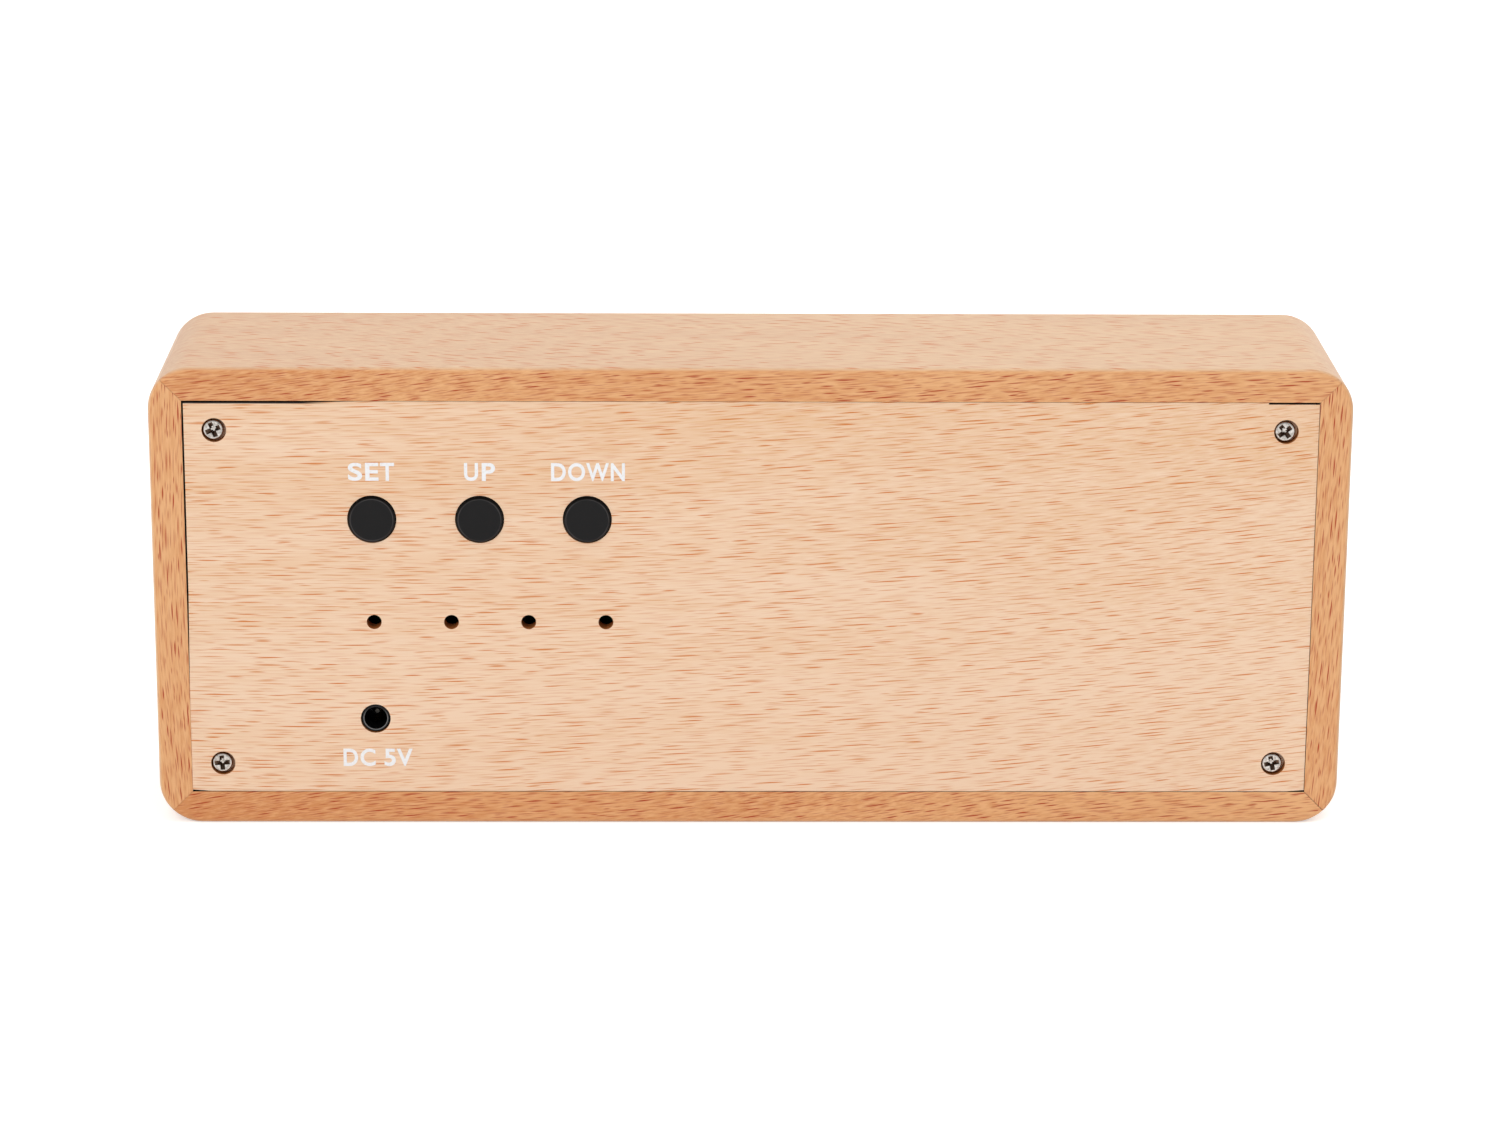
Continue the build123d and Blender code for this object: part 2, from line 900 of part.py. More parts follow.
def make_header():
    """An open shroud with a key slot in one wall and a hole for each pin in its floor."""
    pocket = Rectangle(header_depth - 2 * header_wall, header_length - 2 * header_wall)
    shroud = prism(Rectangle(header_depth, header_length), 0, header_height)
    shroud -= prism(pocket, header_floor, header_height + overrun)
    key = Pos(header_depth / 2, 0) * Rectangle(2 * header_wall - plug_clearance, header_key)
    shroud -= prism(key, header_floor, header_height + overrun)
    side = header_pin_width + 2 * pin_clearance
    holes = [Pos(0, z) * Rectangle(side, side) for z in spread(wire_count, header_pin_pitch)]
    return shroud - prism(Sketch() + holes, -overrun, header_floor + overrun)


def make_header_pins():
    """The square pins of one header."""
    square = Rectangle(header_pin_width, header_pin_width)
    places = spread(wire_count, header_pin_pitch)
    return [prism(Pos(0, z) * square, 0, header_height - pin_spare) for z in places]


def make_plug():
    """The block that plugs into a header, with a socket over each pin."""
    length = header_length - 2 * header_wall - 2 * plug_clearance
    depth = header_depth - 2 * header_wall - 2 * plug_clearance
    block = prism(Rectangle(depth, length), header_floor, plug_top)
    side = header_pin_width + 2 * pin_clearance
    sockets = [Pos(0, z) * Rectangle(side, side) for z in spread(wire_count, header_pin_pitch)]
    socket_end = header_height - pin_spare + pin_clearance
    return block - prism(Sketch() + sockets, header_floor - overrun, socket_end)


def make_ribbon():
    """Six wires side by side, bent twice on the way from one plug to the other."""
    start = board_front - plug_top
    finish = display_rear + plug_top
    half_way = (start + finish) / 2
    path = FilletPolyline(
        (control_header_x, start, header_z),
        (control_header_x, half_way, header_z),
        (display_header_x, half_way, header_z),
        (display_header_x, finish, header_z),
        radius=(start - half_way) * ribbon_bend_share,
    )
    wire = RegularPolygon(wire_diameter / 2, side_count=wire_side_count)
    section = Sketch() + [Pos(0, z) * wire for z in spread(wire_count, wire_pitch)]
    plane = Plane(origin=path @ 0, x_dir=(1, 0, 0), z_dir=path % 0)
    return sweep(plane * section, path=path)


# The whole clock


def make_case_pieces():
    """The case, the blocks in its corners, and the back panel with its screws."""
    pieces = make_case_boards()
    for side, side_name in ((-1, "left"), (1, "right")):
        for end, end_name in ((-1, "lower"), (1, "upper")):
            pieces[f"corner_block_{end_name}_{side_name}"] = make_corner_block(side, end)
    pieces["rear_panel"] = make_rear_panel()
    screw = make_screw(
        panel_screw_head_diameter,
        panel_screw_head_height,
        panel_screw_shank_diameter,
        panel_screw_length,
    )
    pieces["rear_panel_screws"] = group([at(x, panel_screw_seat, z, screw) for x, z in panel_screw_places])
    return pieces


def make_display_pieces():
    """The face and the display behind it."""
    screw = make_screw(
        board_screw_head_diameter,
        board_screw_head_height,
        board_screw_shank_diameter,
        display_screw_length,
    )
    driver = make_chip(driver_width, driver_length, driver_height, driver_lead_count)
    return {
        "face_veneer": make_face_sheet(front_face, veneer_back),
        "diffuser_film": make_face_sheet(veneer_back, film_back),
        "front_board": make_front_board(),
        "display_board": make_display_board(),
        "segment_leds": make_segment_leds(),
        "display_board_screws": group([on_display(x, z, screw) for x, z in display_screw_places]),
        "display_driver_chip": group([on_display(-driver_from_centre, middle, solid) for solid in driver]),
    }


def make_button_pieces():
    """The buttons and their switches."""
    pieces = {}
    legs = []
    for name, x in zip(button_names, button_places):
        pieces[f"{name}_button"] = on_control_rear(x, button_row, make_button())
        pieces[f"{name}_switch_base"] = on_control_rear(x, button_row, make_switch_base())
        pieces[f"{name}_switch_cover"] = on_control_rear(x, button_row, make_switch_cover())
        pieces[f"{name}_switch_plunger"] = on_control_rear(x, button_row, make_switch_plunger())
        pieces[f"{name}_switch_dome"] = on_control_rear(x, button_row, make_switch_dome())
        legs += [on_control_rear(x, button_row, leg) for leg in make_switch_legs()]
    pieces["switch_legs"] = group(legs)
    return pieces


def make_control_pieces():
    """The control board, what holds it, and the rest of what stands on it."""
    screw = make_screw(
        board_screw_head_diameter,
        board_screw_head_height,
        board_screw_shank_diameter,
        board_thickness + spacer_length + board_screw_bite,
    )
    spacer = make_spacer()
    controller = make_chip(controller_width, controller_length, controller_height, controller_lead_count)
    controller_x = control_right - controller_from_right
    controller_z = control_bottom + controller_from_bottom
    crystal_x = control_right - crystal_from_right
    crystal_z = control_bottom + crystal_from_bottom
    capacitor_x = control_right - capacitor_from_right
    capacitor_z = control_bottom + capacitor_from_bottom
    cell_x = control_left + cell_from_left
    cell_z = control_bottom + cell_from_bottom
    return {
        "control_board": make_control_board(),
        "control_board_spacers": group([on_control_rear(x, z, spacer) for x, z in control_screw_places]),
        "control_board_screws": group([on_control_front(x, z, screw) for x, z in control_screw_places]),
        "jack_housing": on_control_rear(jack_x, jack_z, make_jack_housing()),
        "jack_centre_pin": on_control_rear(jack_x, jack_z, make_jack_pin()),
        "jack_sleeve_contact": on_control_rear(jack_x, jack_z, make_jack_contact()),
        "buzzer_case": on_control_rear(sound_centre, sound_row, make_buzzer_case()),
        "buzzer_disc": on_control_rear(sound_centre, sound_row, make_buzzer_disc()),
        "controller_chip": group([on_control_front(controller_x, controller_z, part) for part in controller]),
        "timing_crystal": on_control_front(crystal_x, crystal_z, make_crystal()),
        "smoothing_capacitor": on_control_front(capacitor_x, capacitor_z, make_capacitor()),
        "coin_cell_holder": on_control_front(cell_x, cell_z, make_cell_holder()),
        "coin_cell": on_control_front(cell_x, cell_z, make_cell()),
        "coin_cell_clip": on_control_front(cell_x, cell_z, make_cell_clip()),
    }


def make_cable_pieces():
    """The ribbon cable between the two boards, with its plugs, headers and pins."""
    pins = make_header_pins()
    control_pins = [on_control_front(control_header_x, header_z, pin) for pin in pins]
    display_pins = [on_display(display_header_x, header_z, pin) for pin in pins]
    return {
        "control_header": on_control_front(control_header_x, header_z, make_header()),
        "control_plug": on_control_front(control_header_x, header_z, make_plug()),
        "display_header": on_display(display_header_x, header_z, make_header()),
        "display_plug": on_display(display_header_x, header_z, make_plug()),
        "header_pins": group(control_pins + display_pins),
        "ribbon_cable": make_ribbon(),
    }


clock = {
    **make_case_pieces(),
    **make_display_pieces(),
    **make_button_pieces(),
    **make_control_pieces(),
    **make_cable_pieces(),
}

os.makedirs("parts", exist_ok=True)
for piece_name, piece in clock.items():
    export_step(piece, f"parts/{piece_name}.step")
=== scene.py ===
"""Looks of a wooden alarm clock: finishes, screws, printed labels, a lit face and a stage."""

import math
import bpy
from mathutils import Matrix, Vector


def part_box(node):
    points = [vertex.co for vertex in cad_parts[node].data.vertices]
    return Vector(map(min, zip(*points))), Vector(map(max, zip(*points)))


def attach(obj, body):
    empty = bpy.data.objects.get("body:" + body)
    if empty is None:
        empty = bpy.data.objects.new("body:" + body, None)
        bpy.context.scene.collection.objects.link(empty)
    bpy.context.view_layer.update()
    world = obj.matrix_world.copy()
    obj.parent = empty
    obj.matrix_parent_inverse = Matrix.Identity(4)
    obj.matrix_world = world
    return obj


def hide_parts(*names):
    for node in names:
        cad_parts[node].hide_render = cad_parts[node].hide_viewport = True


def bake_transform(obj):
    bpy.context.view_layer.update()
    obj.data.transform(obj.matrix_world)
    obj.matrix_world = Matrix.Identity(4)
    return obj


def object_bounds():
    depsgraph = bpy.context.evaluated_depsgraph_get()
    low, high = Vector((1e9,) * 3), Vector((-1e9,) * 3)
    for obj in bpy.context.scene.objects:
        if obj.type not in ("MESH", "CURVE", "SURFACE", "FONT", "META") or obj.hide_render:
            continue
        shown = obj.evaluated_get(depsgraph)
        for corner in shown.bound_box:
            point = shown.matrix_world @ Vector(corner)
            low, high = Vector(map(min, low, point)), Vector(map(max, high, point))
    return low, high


bl_info = {
    "name": "Wooden alarm clock",
    "version": (1, 0, 0),
    "blender": (4, 5, 0),
    "location": "3D Viewport > Sidebar > Clock",
    "description": "Dresses the parts of a wooden alarm clock and sets the stage that they are seen on",
    "category": "Object",
}

from functools import partial

import bmesh
import bpy
import numpy as np
from bpy.props import FloatProperty, FloatVectorProperty, IntProperty, PointerProperty, StringProperty
from mathutils import Matrix, Vector

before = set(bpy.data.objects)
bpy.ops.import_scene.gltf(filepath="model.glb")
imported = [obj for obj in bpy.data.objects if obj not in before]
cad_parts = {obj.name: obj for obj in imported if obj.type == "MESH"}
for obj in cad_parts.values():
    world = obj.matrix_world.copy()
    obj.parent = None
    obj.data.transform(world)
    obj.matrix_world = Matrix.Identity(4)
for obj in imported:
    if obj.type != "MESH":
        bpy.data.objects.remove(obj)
cad_low, cad_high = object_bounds()

MM = 0.001
DEGREE = math.pi / 180


def linear(code):
    """Turns a colour written as sRGB hex into the linear RGBA that Blender's sockets take."""
    shares = [int(code[start:start + 2], 16) / 255 for start in (1, 3, 5)]
    return [s / 12.92 if s <= 0.04045 else ((s + 0.055) / 1.055) ** 2.4 for s in shares] + [1.0]


def colour(name, description, code):
    """A colour that the user can change, given as sRGB hex."""
    return FloatVectorProperty(
        name=name, description=description, default=linear(code), size=4, min=0, max=1, subtype="COLOR"
    )


def length(name, description, millimetres):
    """A length that the user can change, given in millimetres."""
    return FloatProperty(name=name, description=description, default=millimetres * MM, unit="LENGTH")


def number(name, description, default, **limits):
    """A plain number that the user can change."""
    return FloatProperty(name=name, description=description, default=default, **limits)


def point(name, description, metres):
    """A point that the user can move, given in metres."""
    return FloatVectorProperty(name=name, description=description, default=metres, unit="LENGTH")


# Sizes and colours that a user would change


class BeechSettings(bpy.types.PropertyGroup):
    """Colours and grain of the beech"""

    frame_light: colour("Frame light", "Palest ground of the frame boards", "#E8B17D")
    frame_deep: colour("Frame deep", "Deepest ground of the frame boards", "#D38D57")
    frame_fleck: colour("Frame fleck", "Ray flecks of the frame boards", "#A82A00")
    panel_light: colour("Panel light", "Palest ground of the back panel", "#F3D3B6")
    panel_deep: colour("Panel deep", "Deepest ground of the back panel", "#E6B78A")
    panel_fleck: colour("Panel fleck", "Ray flecks of the back panel", "#D07000")
    outer_fleck: colour("Outer fleck", "Ray flecks of the frame's outer faces", "#CC5C00")
    drilled: colour("Drilled wood", "Walls of the drilled holes", "#A4622F")
    raw_wood: colour("Raw wood", "Clean wood inside the gap round the panel", "#F0CA9E")
    # Painted shade: this near black is the shade deep in the narrow gap round the panel, painted on the
    # wood there
    painted_gap_shade: colour("Dirty raw wood", "The same where dirt has gathered", "#120A06")
    # Painted sheen: a pale tone that the frame's outer faces are mixed towards, for the lacquer's
    # reflection of light
    painted_sheen: colour("Bleached wood", "Tone that light draws the frame's outer faces towards", "#EBEAD6")
    glue: colour("Glue line", "Thin line where two boards meet at a mitre", "#5A3018")
    panel_fleck_pitch: length("Panel fleck pitch", "Distance between the panel's flecks along a row", 10.0)
    panel_row_pitch: length("Panel row pitch", "Distance between the rows of the panel's ray flecks", 0.66)
    panel_fleck_width: length("Panel fleck width", "Width of the panel's ray flecks", 0.26)
    frame_fleck_pitch: length("Frame fleck pitch", "Distance between the frame's flecks along a row", 6.6)
    frame_row_pitch: length("Frame row pitch", "Distance between the rows of the frame's ray flecks", 0.64)
    frame_fleck_width: length("Frame fleck width", "Width of the frame's ray flecks", 0.3)
    band_length: length("Band length", "Length of the broad bands of colour", 120.0)
    band_width: length("Band width", "Width of the broad bands of colour", 8.0)
    panel_fibre_length: length("Panel fibre length", "Length of the panel's fine fibres", 18.0)
    frame_fibre_length: length("Frame fibre length", "Length of the frame's fine fibres", 5.0)
    fibre_width: length("Fibre width", "Width of the fine fibres", 0.3)
    panel_wander: length("Panel wander", "How far the panel's grain strays from a smooth line", 1.0)
    frame_wander: length("Frame wander", "How far the frame's grain strays from a straight line", 2.2)
    wander_length: length("Wander length", "Distance over which the grain strays", 90.0)
    panel_slope: number("Panel slope", "Rise of the panel's grain at its middle, per unit of length", 0.058)
    panel_bow: number("Panel bow", "How that rise changes, per millimetre along the panel", -0.0003)


class LabelSettings(bpy.types.PropertyGroup):
    """Printed words of the controls"""

    ink: colour("Ink", "White printing ink", "#F4F5F8")
    worn_ink: colour("Thin ink", "Ink where the wood shows through", "#E9E2DE")
    letter_height: length("Letter height", "Height of the capitals", 3.1)
    ink_thickness: length("Ink thickness", "How far the print stands off the panel", 0.03)
    above_button: length("Above button", "From a button's middle up to its word", 6.65)
    below_socket: length("Below socket", "From the socket's middle down to its words", 8.45)
    boldness: number("Boldness", "How much the strokes are thickened", 0.025)
    narrowness: number("Narrowness", "Width of the letters, against full width", 0.94)


class ScrewSettings(bpy.types.PropertyGroup):
    """Cross-head screws of the back panel"""

    head_diameter: length("Head", "Diameter of the head", 3.5)
    head_height: length("Head height", "Height of the head", 1.4)
    head_round: length("Head rounding", "Rounding of the head's edge", 0.5)
    shank_diameter: length("Shank", "Diameter over the thread", 2.0)
    thread_depth: length("Thread depth", "Depth of the thread", 0.25)
    thread_pitch: length("Thread pitch", "Distance between two turns of the thread", 0.9)
    recess_length: length("Recess length", "Length of the cross recess", 2.7)
    recess_width: length("Recess width", "Width of the cross recess", 0.8)
    recess_depth: length("Recess depth", "Depth of the cross recess", 0.9)
    sides: IntProperty(name="Sides", description="Sides of the round head", default=48, min=12)


class FaceSettings(bpy.types.PropertyGroup):
    """Digits that shine through the veneer of the face"""

    shown: StringProperty(name="Time", description="Time that the lit digits show", default="10:08")
    light: colour("Light", "Colour of the light behind the veneer", "#FFF1DC")
    strength: number("Strength", "Strength of the light", 0.8, min=0)
    grid: length("Grid", "Spacing of the face's mesh, on which the light is written", 0.7)
    blur: length("Blur", "Width of the soft edge of the light", 1.3)
    halo_reach: length("Halo reach", "How far the light spreads in the wood", 2.5)
    halo: number("Halo", "Share of the light that spreads", 0.1, min=0, max=1)
    digit_width: length("Digit width", "Width of a digit", 16.0)
    digit_height: length("Digit height", "Height of a digit", 30.0)
    digit_pitch: length("Digit pitch", "Distance between the digits of a pair", 25.0)
    pair_spread: length("Pair spread", "Distance between the two pairs of digits", 56.0)
    segment_width: length("Segment width", "Width of a segment", 3.2)
    segment_gap: length("Segment gap", "Gap between the tips of two segments", 1.2)
    colon_spacing: length("Colon spacing", "Distance between the two dots", 11.0)


class StageSettings(bpy.types.PropertyGroup):
    """Camera, lamps and floor"""

    camera_place: point("Camera", "Where the camera stands", (0.01244, 0.74205, 0.25678))
    camera_aim: point("Aim", "Point that the camera looks at", (0.00016, 0.0205, 0.04555))
    camera_roll: number("Roll", "Turn of the camera about its own axis", 0.35 * DEGREE, subtype="ANGLE")
    lens: number("Lens", "Focal length on a 36 mm sensor, in millimetres", 107.83)
    floor_size: number("Floor", "Side of the floor", 8.0, unit="LENGTH")
    floor_colour: colour("Floor colour", "Pale floor", "#F2F2F2")
    floor_lift: number("Floor lift", "Light added to the floor where it is seen directly", 0.42, min=0)
    sky: number("Sky", "Strength of the soft light from all round", 0.7, min=0)
    ceiling: number("Ceiling", "Brightness of the ceiling in reflections", 0.15, min=0)
    key: number("Key lamp", "Power of the main lamp, in watts", 13.0, min=0)
    fill: number("Fill lamp", "Power of the lamp in front of the face, in watts", 11.0, min=0)
    top: number("Top lamp", "Power of the lamp overhead, in watts", 4.5, min=0)


class ClockSettings(bpy.types.PropertyGroup):
    """All settings of the clock's looks"""

    beech: PointerProperty(type=BeechSettings)
    labels: PointerProperty(type=LabelSettings)
    screws: PointerProperty(type=ScrewSettings)
    face: PointerProperty(type=FaceSettings)
    stage: PointerProperty(type=StageSettings)


# Materials

# The option that says what a node does, for the kinds that have one
MODES = {
    "Math": "operation",
    "VectorMath": "operation",
    "Mix": "data_type",
    "TexVoronoi": "feature",
    "TexWhiteNoise": "noise_dimensions",
}


def add_node(tree, kind, links=None, mode=None, **settings):
    """Adds a shader node, sets its mode and options, and fills its inputs with values, nodes or outputs."""
    node = tree.nodes.new("ShaderNode" + kind)
    if mode:
        settings[MODES[kind]] = mode
    for option, value in settings.items():
        setattr(node, option, value)
    for name, source in (links or {}).items():
        if isinstance(source, bpy.types.Node):
            source = next(output for output in source.outputs if output.enabled)
        if isinstance(source, bpy.types.NodeSocket):
            tree.links.new(source, node.inputs[name])
        else:
            node.inputs[name].default_value = source
    return node


def empty_tree(owner):
    """Clears the nodes of a material or a world, and gives the function that adds new ones there."""
    owner.use_nodes = True
    owner.node_tree.nodes.clear()
    return partial(add_node, owner.node_tree)


def new_material(name):
    """A material, the function that adds its nodes, and the object's own coordinates in millimetres."""
    material = bpy.data.materials.new(name)
    add = empty_tree(material)
    place = add("TexCoord").outputs["Object"]
    return material, add, add("Mapping", {"Vector": place, "Scale": [1 / MM] * 3})


def cover(add, surface):
    """Ends a material with one shader, which takes these inputs."""
    add("OutputMaterial", {"Surface": add("BsdfPrincipled", surface)})


def wood_look(settings, wood, **piece):
    """Colours and grain of one of the two woods, frame or panel, and what its piece has of its own."""
    shared = ("light", "deep", "fleck", "fleck_pitch", "row_pitch", "fleck_width", "fibre_length", "wander")
    return {key: getattr(settings, f"{wood}_{key}") for key in shared} | piece


def panel_look(settings, seed):
    """The paler beech of the panel and the face."""
    return wood_look(
        settings,
        "panel",
        seed=seed,
        grain="X",
        inward=None,
        slope=settings.panel_slope,
        bow=settings.panel_bow,
        fibre_contrast=0.55,
        # Painted light: the rise of the shade makes the panel and the face paler towards the bottom, for
        # light bounced up from the floor
        shade=-0.23,
        shade_rise=(0, 0, 0.0055),
    )


def by_grain(look, along, across):
    """One value for each axis: one along the grain, another across it."""
    return [along if axis == look["grain"] else across for axis in "XYZ"]


def grain_shift(add, place, along, settings, look):
    """How far the grain has strayed sideways, in millimetres: by a slope, a bow and a slow wander."""
    across_share = 1.5
    pace = MM / settings.wander_length
    scale = by_grain(look, pace, across_share * pace)
    stray = add("Mapping", {"Vector": place, "Location": [look["seed"]] * 3, "Scale": scale})
    sway = add("TexNoise", {"Vector": stray, "Scale": 1.0, "Detail": 0.0})
    reach = 2 * look["wander"] / MM
    offset = add("MapRange", {"Value": sway, "To Min": -reach, "To Max": reach})
    rise = add("Math", {0: along, 1: look["bow"], 2: look["slope"]}, "MULTIPLY_ADD")
    return add("Math", {0: along, 1: rise, 2: offset}, "MULTIPLY_ADD")


def ray_flecks(add, along, across, seed, pitch, row_pitch, width, darkest):
    """Spindles in rows along the grain, each with its own length and depth: 1 in a fleck, 0 between."""
    rows = add("Math", {0: across, 1: MM / row_pitch, 2: seed}, "MULTIPLY_ADD")
    row = add("Math", {0: rows}, "FLOOR")
    high = add("Math", {0: rows}, "FRACT")
    start = add("TexWhiteNoise", {"W": row}, "1D")
    steps = add("Math", {0: along, 1: MM / pitch, 2: start}, "MULTIPLY_ADD")
    step = add("Math", {0: steps}, "FLOOR")
    far = add("Math", {0: steps}, "FRACT")
    cell = add("CombineXYZ", {"X": step, "Y": row, "Z": seed})
    dice = add("TexWhiteNoise", {"Vector": cell}).outputs["Color"]
    chance = add("SeparateColor", {"Color": dice})
    half = add("MapRange", {"Value": chance.outputs["Red"], "To Min": 0.16, "To Max": 0.45})
    middle = add("MapRange", {"Value": chance.outputs["Blue"], "To Min": 0.32, "To Max": 0.68})
    from_middle = add("Math", {0: far, 1: 0.5}, "SUBTRACT")
    lengthwise = add("Math", {0: from_middle, 1: half}, "DIVIDE")
    taper = add("Math", {0: lengthwise, 1: 2.0}, "POWER")
    off = add("Math", {0: high, 1: middle}, "SUBTRACT")
    aside = add("Math", {0: off}, "ABSOLUTE")
    away = add("Math", {0: aside, 1: 2 * row_pitch / width, 2: taper}, "MULTIPLY_ADD")
    core = add("MapRange", {"Value": away, "To Min": 1.6, "To Max": 0.0})
    rare = add("Math", {0: chance.outputs["Green"], 1: 1.7}, "POWER")
    depth = add("MapRange", {"Value": rare, "To Min": 0.2, "To Max": darkest})
    return add("Math", {0: core, 1: depth}, "MULTIPLY", use_clamp=True)


def beech(name, settings, look, drilled=False, glow=None):
    """Beech, planed and sanded, under a thin satin lacquer.

    The eye sees a pale pinkish ground with faint broad bands and a silky fibre, and the short dark spindles
    of its rays, a few millimetres long, along the grain. At a low angle the lacquer turns paler; on the
    frame's outer faces a painted sheen adds to this, a pale tone that the wood is mixed towards.
    """
    material, add, place = new_material(name)
    seed = look["seed"]
    facing = add("NewGeometry").outputs["Normal"]
    along = add("VectorMath", {0: place, 1: by_grain(look, 1, 0)}, "DOT_PRODUCT")
    shift = grain_shift(add, place, along, settings, look)
    sideways = (0, 0, 1) if look["grain"] == "X" else (1, 0, 0)
    flat = add("VectorMath", {0: place, 1: sideways}, "DOT_PRODUCT")
    across = add("Math", {0: flat, 1: shift}, "ADD")
    if look["inward"]:
        towards = add("VectorMath", {0: facing, 1: look["inward"]}, "DOT_PRODUCT")
        outer = add("Math", {0: towards, 1: -0.7}, "LESS_THAN")
        across = outer_rows(add, place, shift, across, outer)
    sizes = {"pitch": look["fleck_pitch"], "row_pitch": look["row_pitch"], "width": look["fleck_width"]}
    shares = {"pitch": 0.7, "row_pitch": 0.7, "width": 0.8}
    finer = {key: share * sizes[key] for key, share in shares.items()}
    faint_seed = seed + 11
    bold = ray_flecks(add, along, across, seed, darkest=1.0, **sizes)
    faint = ray_flecks(add, along, across, faint_seed, darkest=0.6, **finer)
    if look["inward"]:
        inner = add("Math", {0: 1.0, 1: outer}, "SUBTRACT")
        faint = add("Math", {0: faint, 1: inner}, "MULTIPLY")
    rays = add("Math", {0: bold, 1: faint}, "MAXIMUM")

    bent = add("VectorMath", {0: shift, 1: by_grain(look, 0, 1), 2: place}, "MULTIPLY_ADD")
    band_scale = by_grain(look, MM / settings.band_length, MM / settings.band_width)
    bands_place = add("Mapping", {"Vector": bent, "Location": [seed] * 3, "Scale": band_scale})
    bands = add("TexNoise", {"Vector": bands_place, "Scale": 1.0, "Detail": 2.0})
    fibre_scale = by_grain(look, MM / look["fibre_length"], MM / settings.fibre_width)
    fibre_place = add("Mapping", {"Vector": bent, "Scale": fibre_scale})
    fibres = add("TexNoise", {"Vector": fibre_place, "Scale": 1.0, "Detail": 2.0, "Roughness": 0.6})
    ground = wood_ground(add, place, bands, fibres, look)

    rough = 0.0
    fleck = look["fleck"]
    if look["inward"]:
        rays = add("Math", {0: rays, 1: off_edges(add, towards)}, "MULTIPLY")
        fleck = add("Mix", {0: outer, 6: fleck, 7: settings.outer_fleck}, "RGBA")
        # Painted sheen: the outer faces are mixed a little towards a pale tone, for the lacquer's
        # reflection of light
        sheen_range = {"Value": towards, "From Min": -0.9, "From Max": -0.4, "To Min": 0.3, "To Max": 0.0}
        sheen_share = add("MapRange", sheen_range)
        ground = add("Mix", {0: sheen_share, 6: ground, 7: settings.painted_sheen}, "RGBA")
    wood = add("Mix", {0: rays, 6: ground, 7: fleck}, "RGBA")
    if look["inward"]:
        wood = glue_line(add, place, wood, settings.glue)
        # Faces inside the gap round the panel take raw wood, with painted shade in patches for the shade
        # deep in the gap
        rough = add("MapRange", {"Value": towards, "From Min": 0.8, "From Max": 0.9})
        raw = raw_wood(add, place, along, look["dirt"], settings)
        wood = add("Mix", {0: rough, 6: wood, 7: raw}, "RGBA")
    if drilled:
        wood, rough = cut_walls(add, place, facing, wood, settings)

    lacquer = add("MapRange", {"Value": fibres, "To Min": 0.32, "To Max": 0.46})
    relief = add("Math", {0: rays, 1: -1.0, 2: fibres}, "MULTIPLY_ADD")
    surface = {
        "Base Color": wood,
        "Roughness": add("Math", {0: rough, 1: 0.5, 2: lacquer}, "MULTIPLY_ADD"),
        "Specular IOR Level": 0.35,
        "Normal": add("Bump", {"Height": relief, "Strength": 0.15, "Distance": 0.04 * MM}),
    }
    if glow:
        share = add("Attribute", attribute_name="glow").outputs["Fac"]
        surface["Emission Color"] = glow.light
        surface["Emission Strength"] = add("Math", {0: share, 1: glow.strength}, "MULTIPLY")
    cover(add, surface)
    return material


def outer_rows(add, place, shift, across, outer):
    """On a board's outer face, broader rows of flecks across its depth; elsewhere the rows given."""
    lean_share = 0.9
    row_share = 0.58
    depth = add("SeparateXYZ", {"Vector": place}).outputs["Y"]
    lean = add("Math", {0: shift, 1: lean_share}, "MULTIPLY")
    broad = add("Math", {0: depth, 1: row_share, 2: lean}, "MULTIPLY_ADD")
    return add("Mix", {0: outer, 2: across, 3: broad})


def off_edges(add, towards):
    """1 on the flat faces of a board, and little on its rounded edges, where sanding blurs the flecks."""
    turned = add("Math", {0: towards, 1: 0.5}, "ADD")
    flat = add("Math", {0: turned}, "ABSOLUTE")
    return add("MapRange", {"Value": flat, "From Min": 0.38, "From Max": 0.48, "To Min": 0.3})


def wood_ground(add, place, bands, fibres, look):
    """The colour between the flecks: broad bands, fine fibres and a slow change over the whole board."""
    share = {"From Min": 0.3, "From Max": 0.7}
    shade = look["shade"]
    banded = add("MapRange", {"Value": bands, "To Min": shade - 0.08, "To Max": shade + 0.28, **share})
    contrast = look["fibre_contrast"]
    streaks = {"Value": fibres, "To Min": -0.35 * contrast, "To Max": 0.85 * contrast, **share}
    streaked = add("MapRange", streaks)
    both = add("Math", {0: banded, 1: streaked}, "ADD")
    # On the panel and the face this slow change is painted light, paler towards the bottom; on the frame
    # boards it is tone
    rise = add("VectorMath", {0: place, 1: look["shade_rise"]}, "DOT_PRODUCT")
    tone = add("Math", {0: both, 1: rise}, "ADD", use_clamp=True)
    return add("Mix", {0: tone, 6: look["light"], 7: look["deep"]}, "RGBA")


def raw_wood(add, place, along, dirt, settings):
    """Unfinished wood in the gap round the panel, with painted shade in patches whose amount changes along
    the board.
    """
    (start, shade_there), (end, shade_then) = dirt
    out = add("Math", {0: along}, "ABSOLUTE")
    shade_patches = add("TexNoise", {"Vector": place, "Scale": 0.06, "Detail": 2.0})
    patch = add("MapRange", {"Value": shade_patches, "From Min": 0.4, "From Max": 0.6, "To Max": 0.5})
    slope = {"Value": out, "From Min": start, "From Max": end, "To Min": shade_there, "To Max": shade_then}
    share = add("Math", {0: patch, 1: add("MapRange", slope)}, "ADD", use_clamp=True)
    return add("Mix", {0: share, 6: settings.raw_wood, 7: settings.painted_gap_shade}, "RGBA")


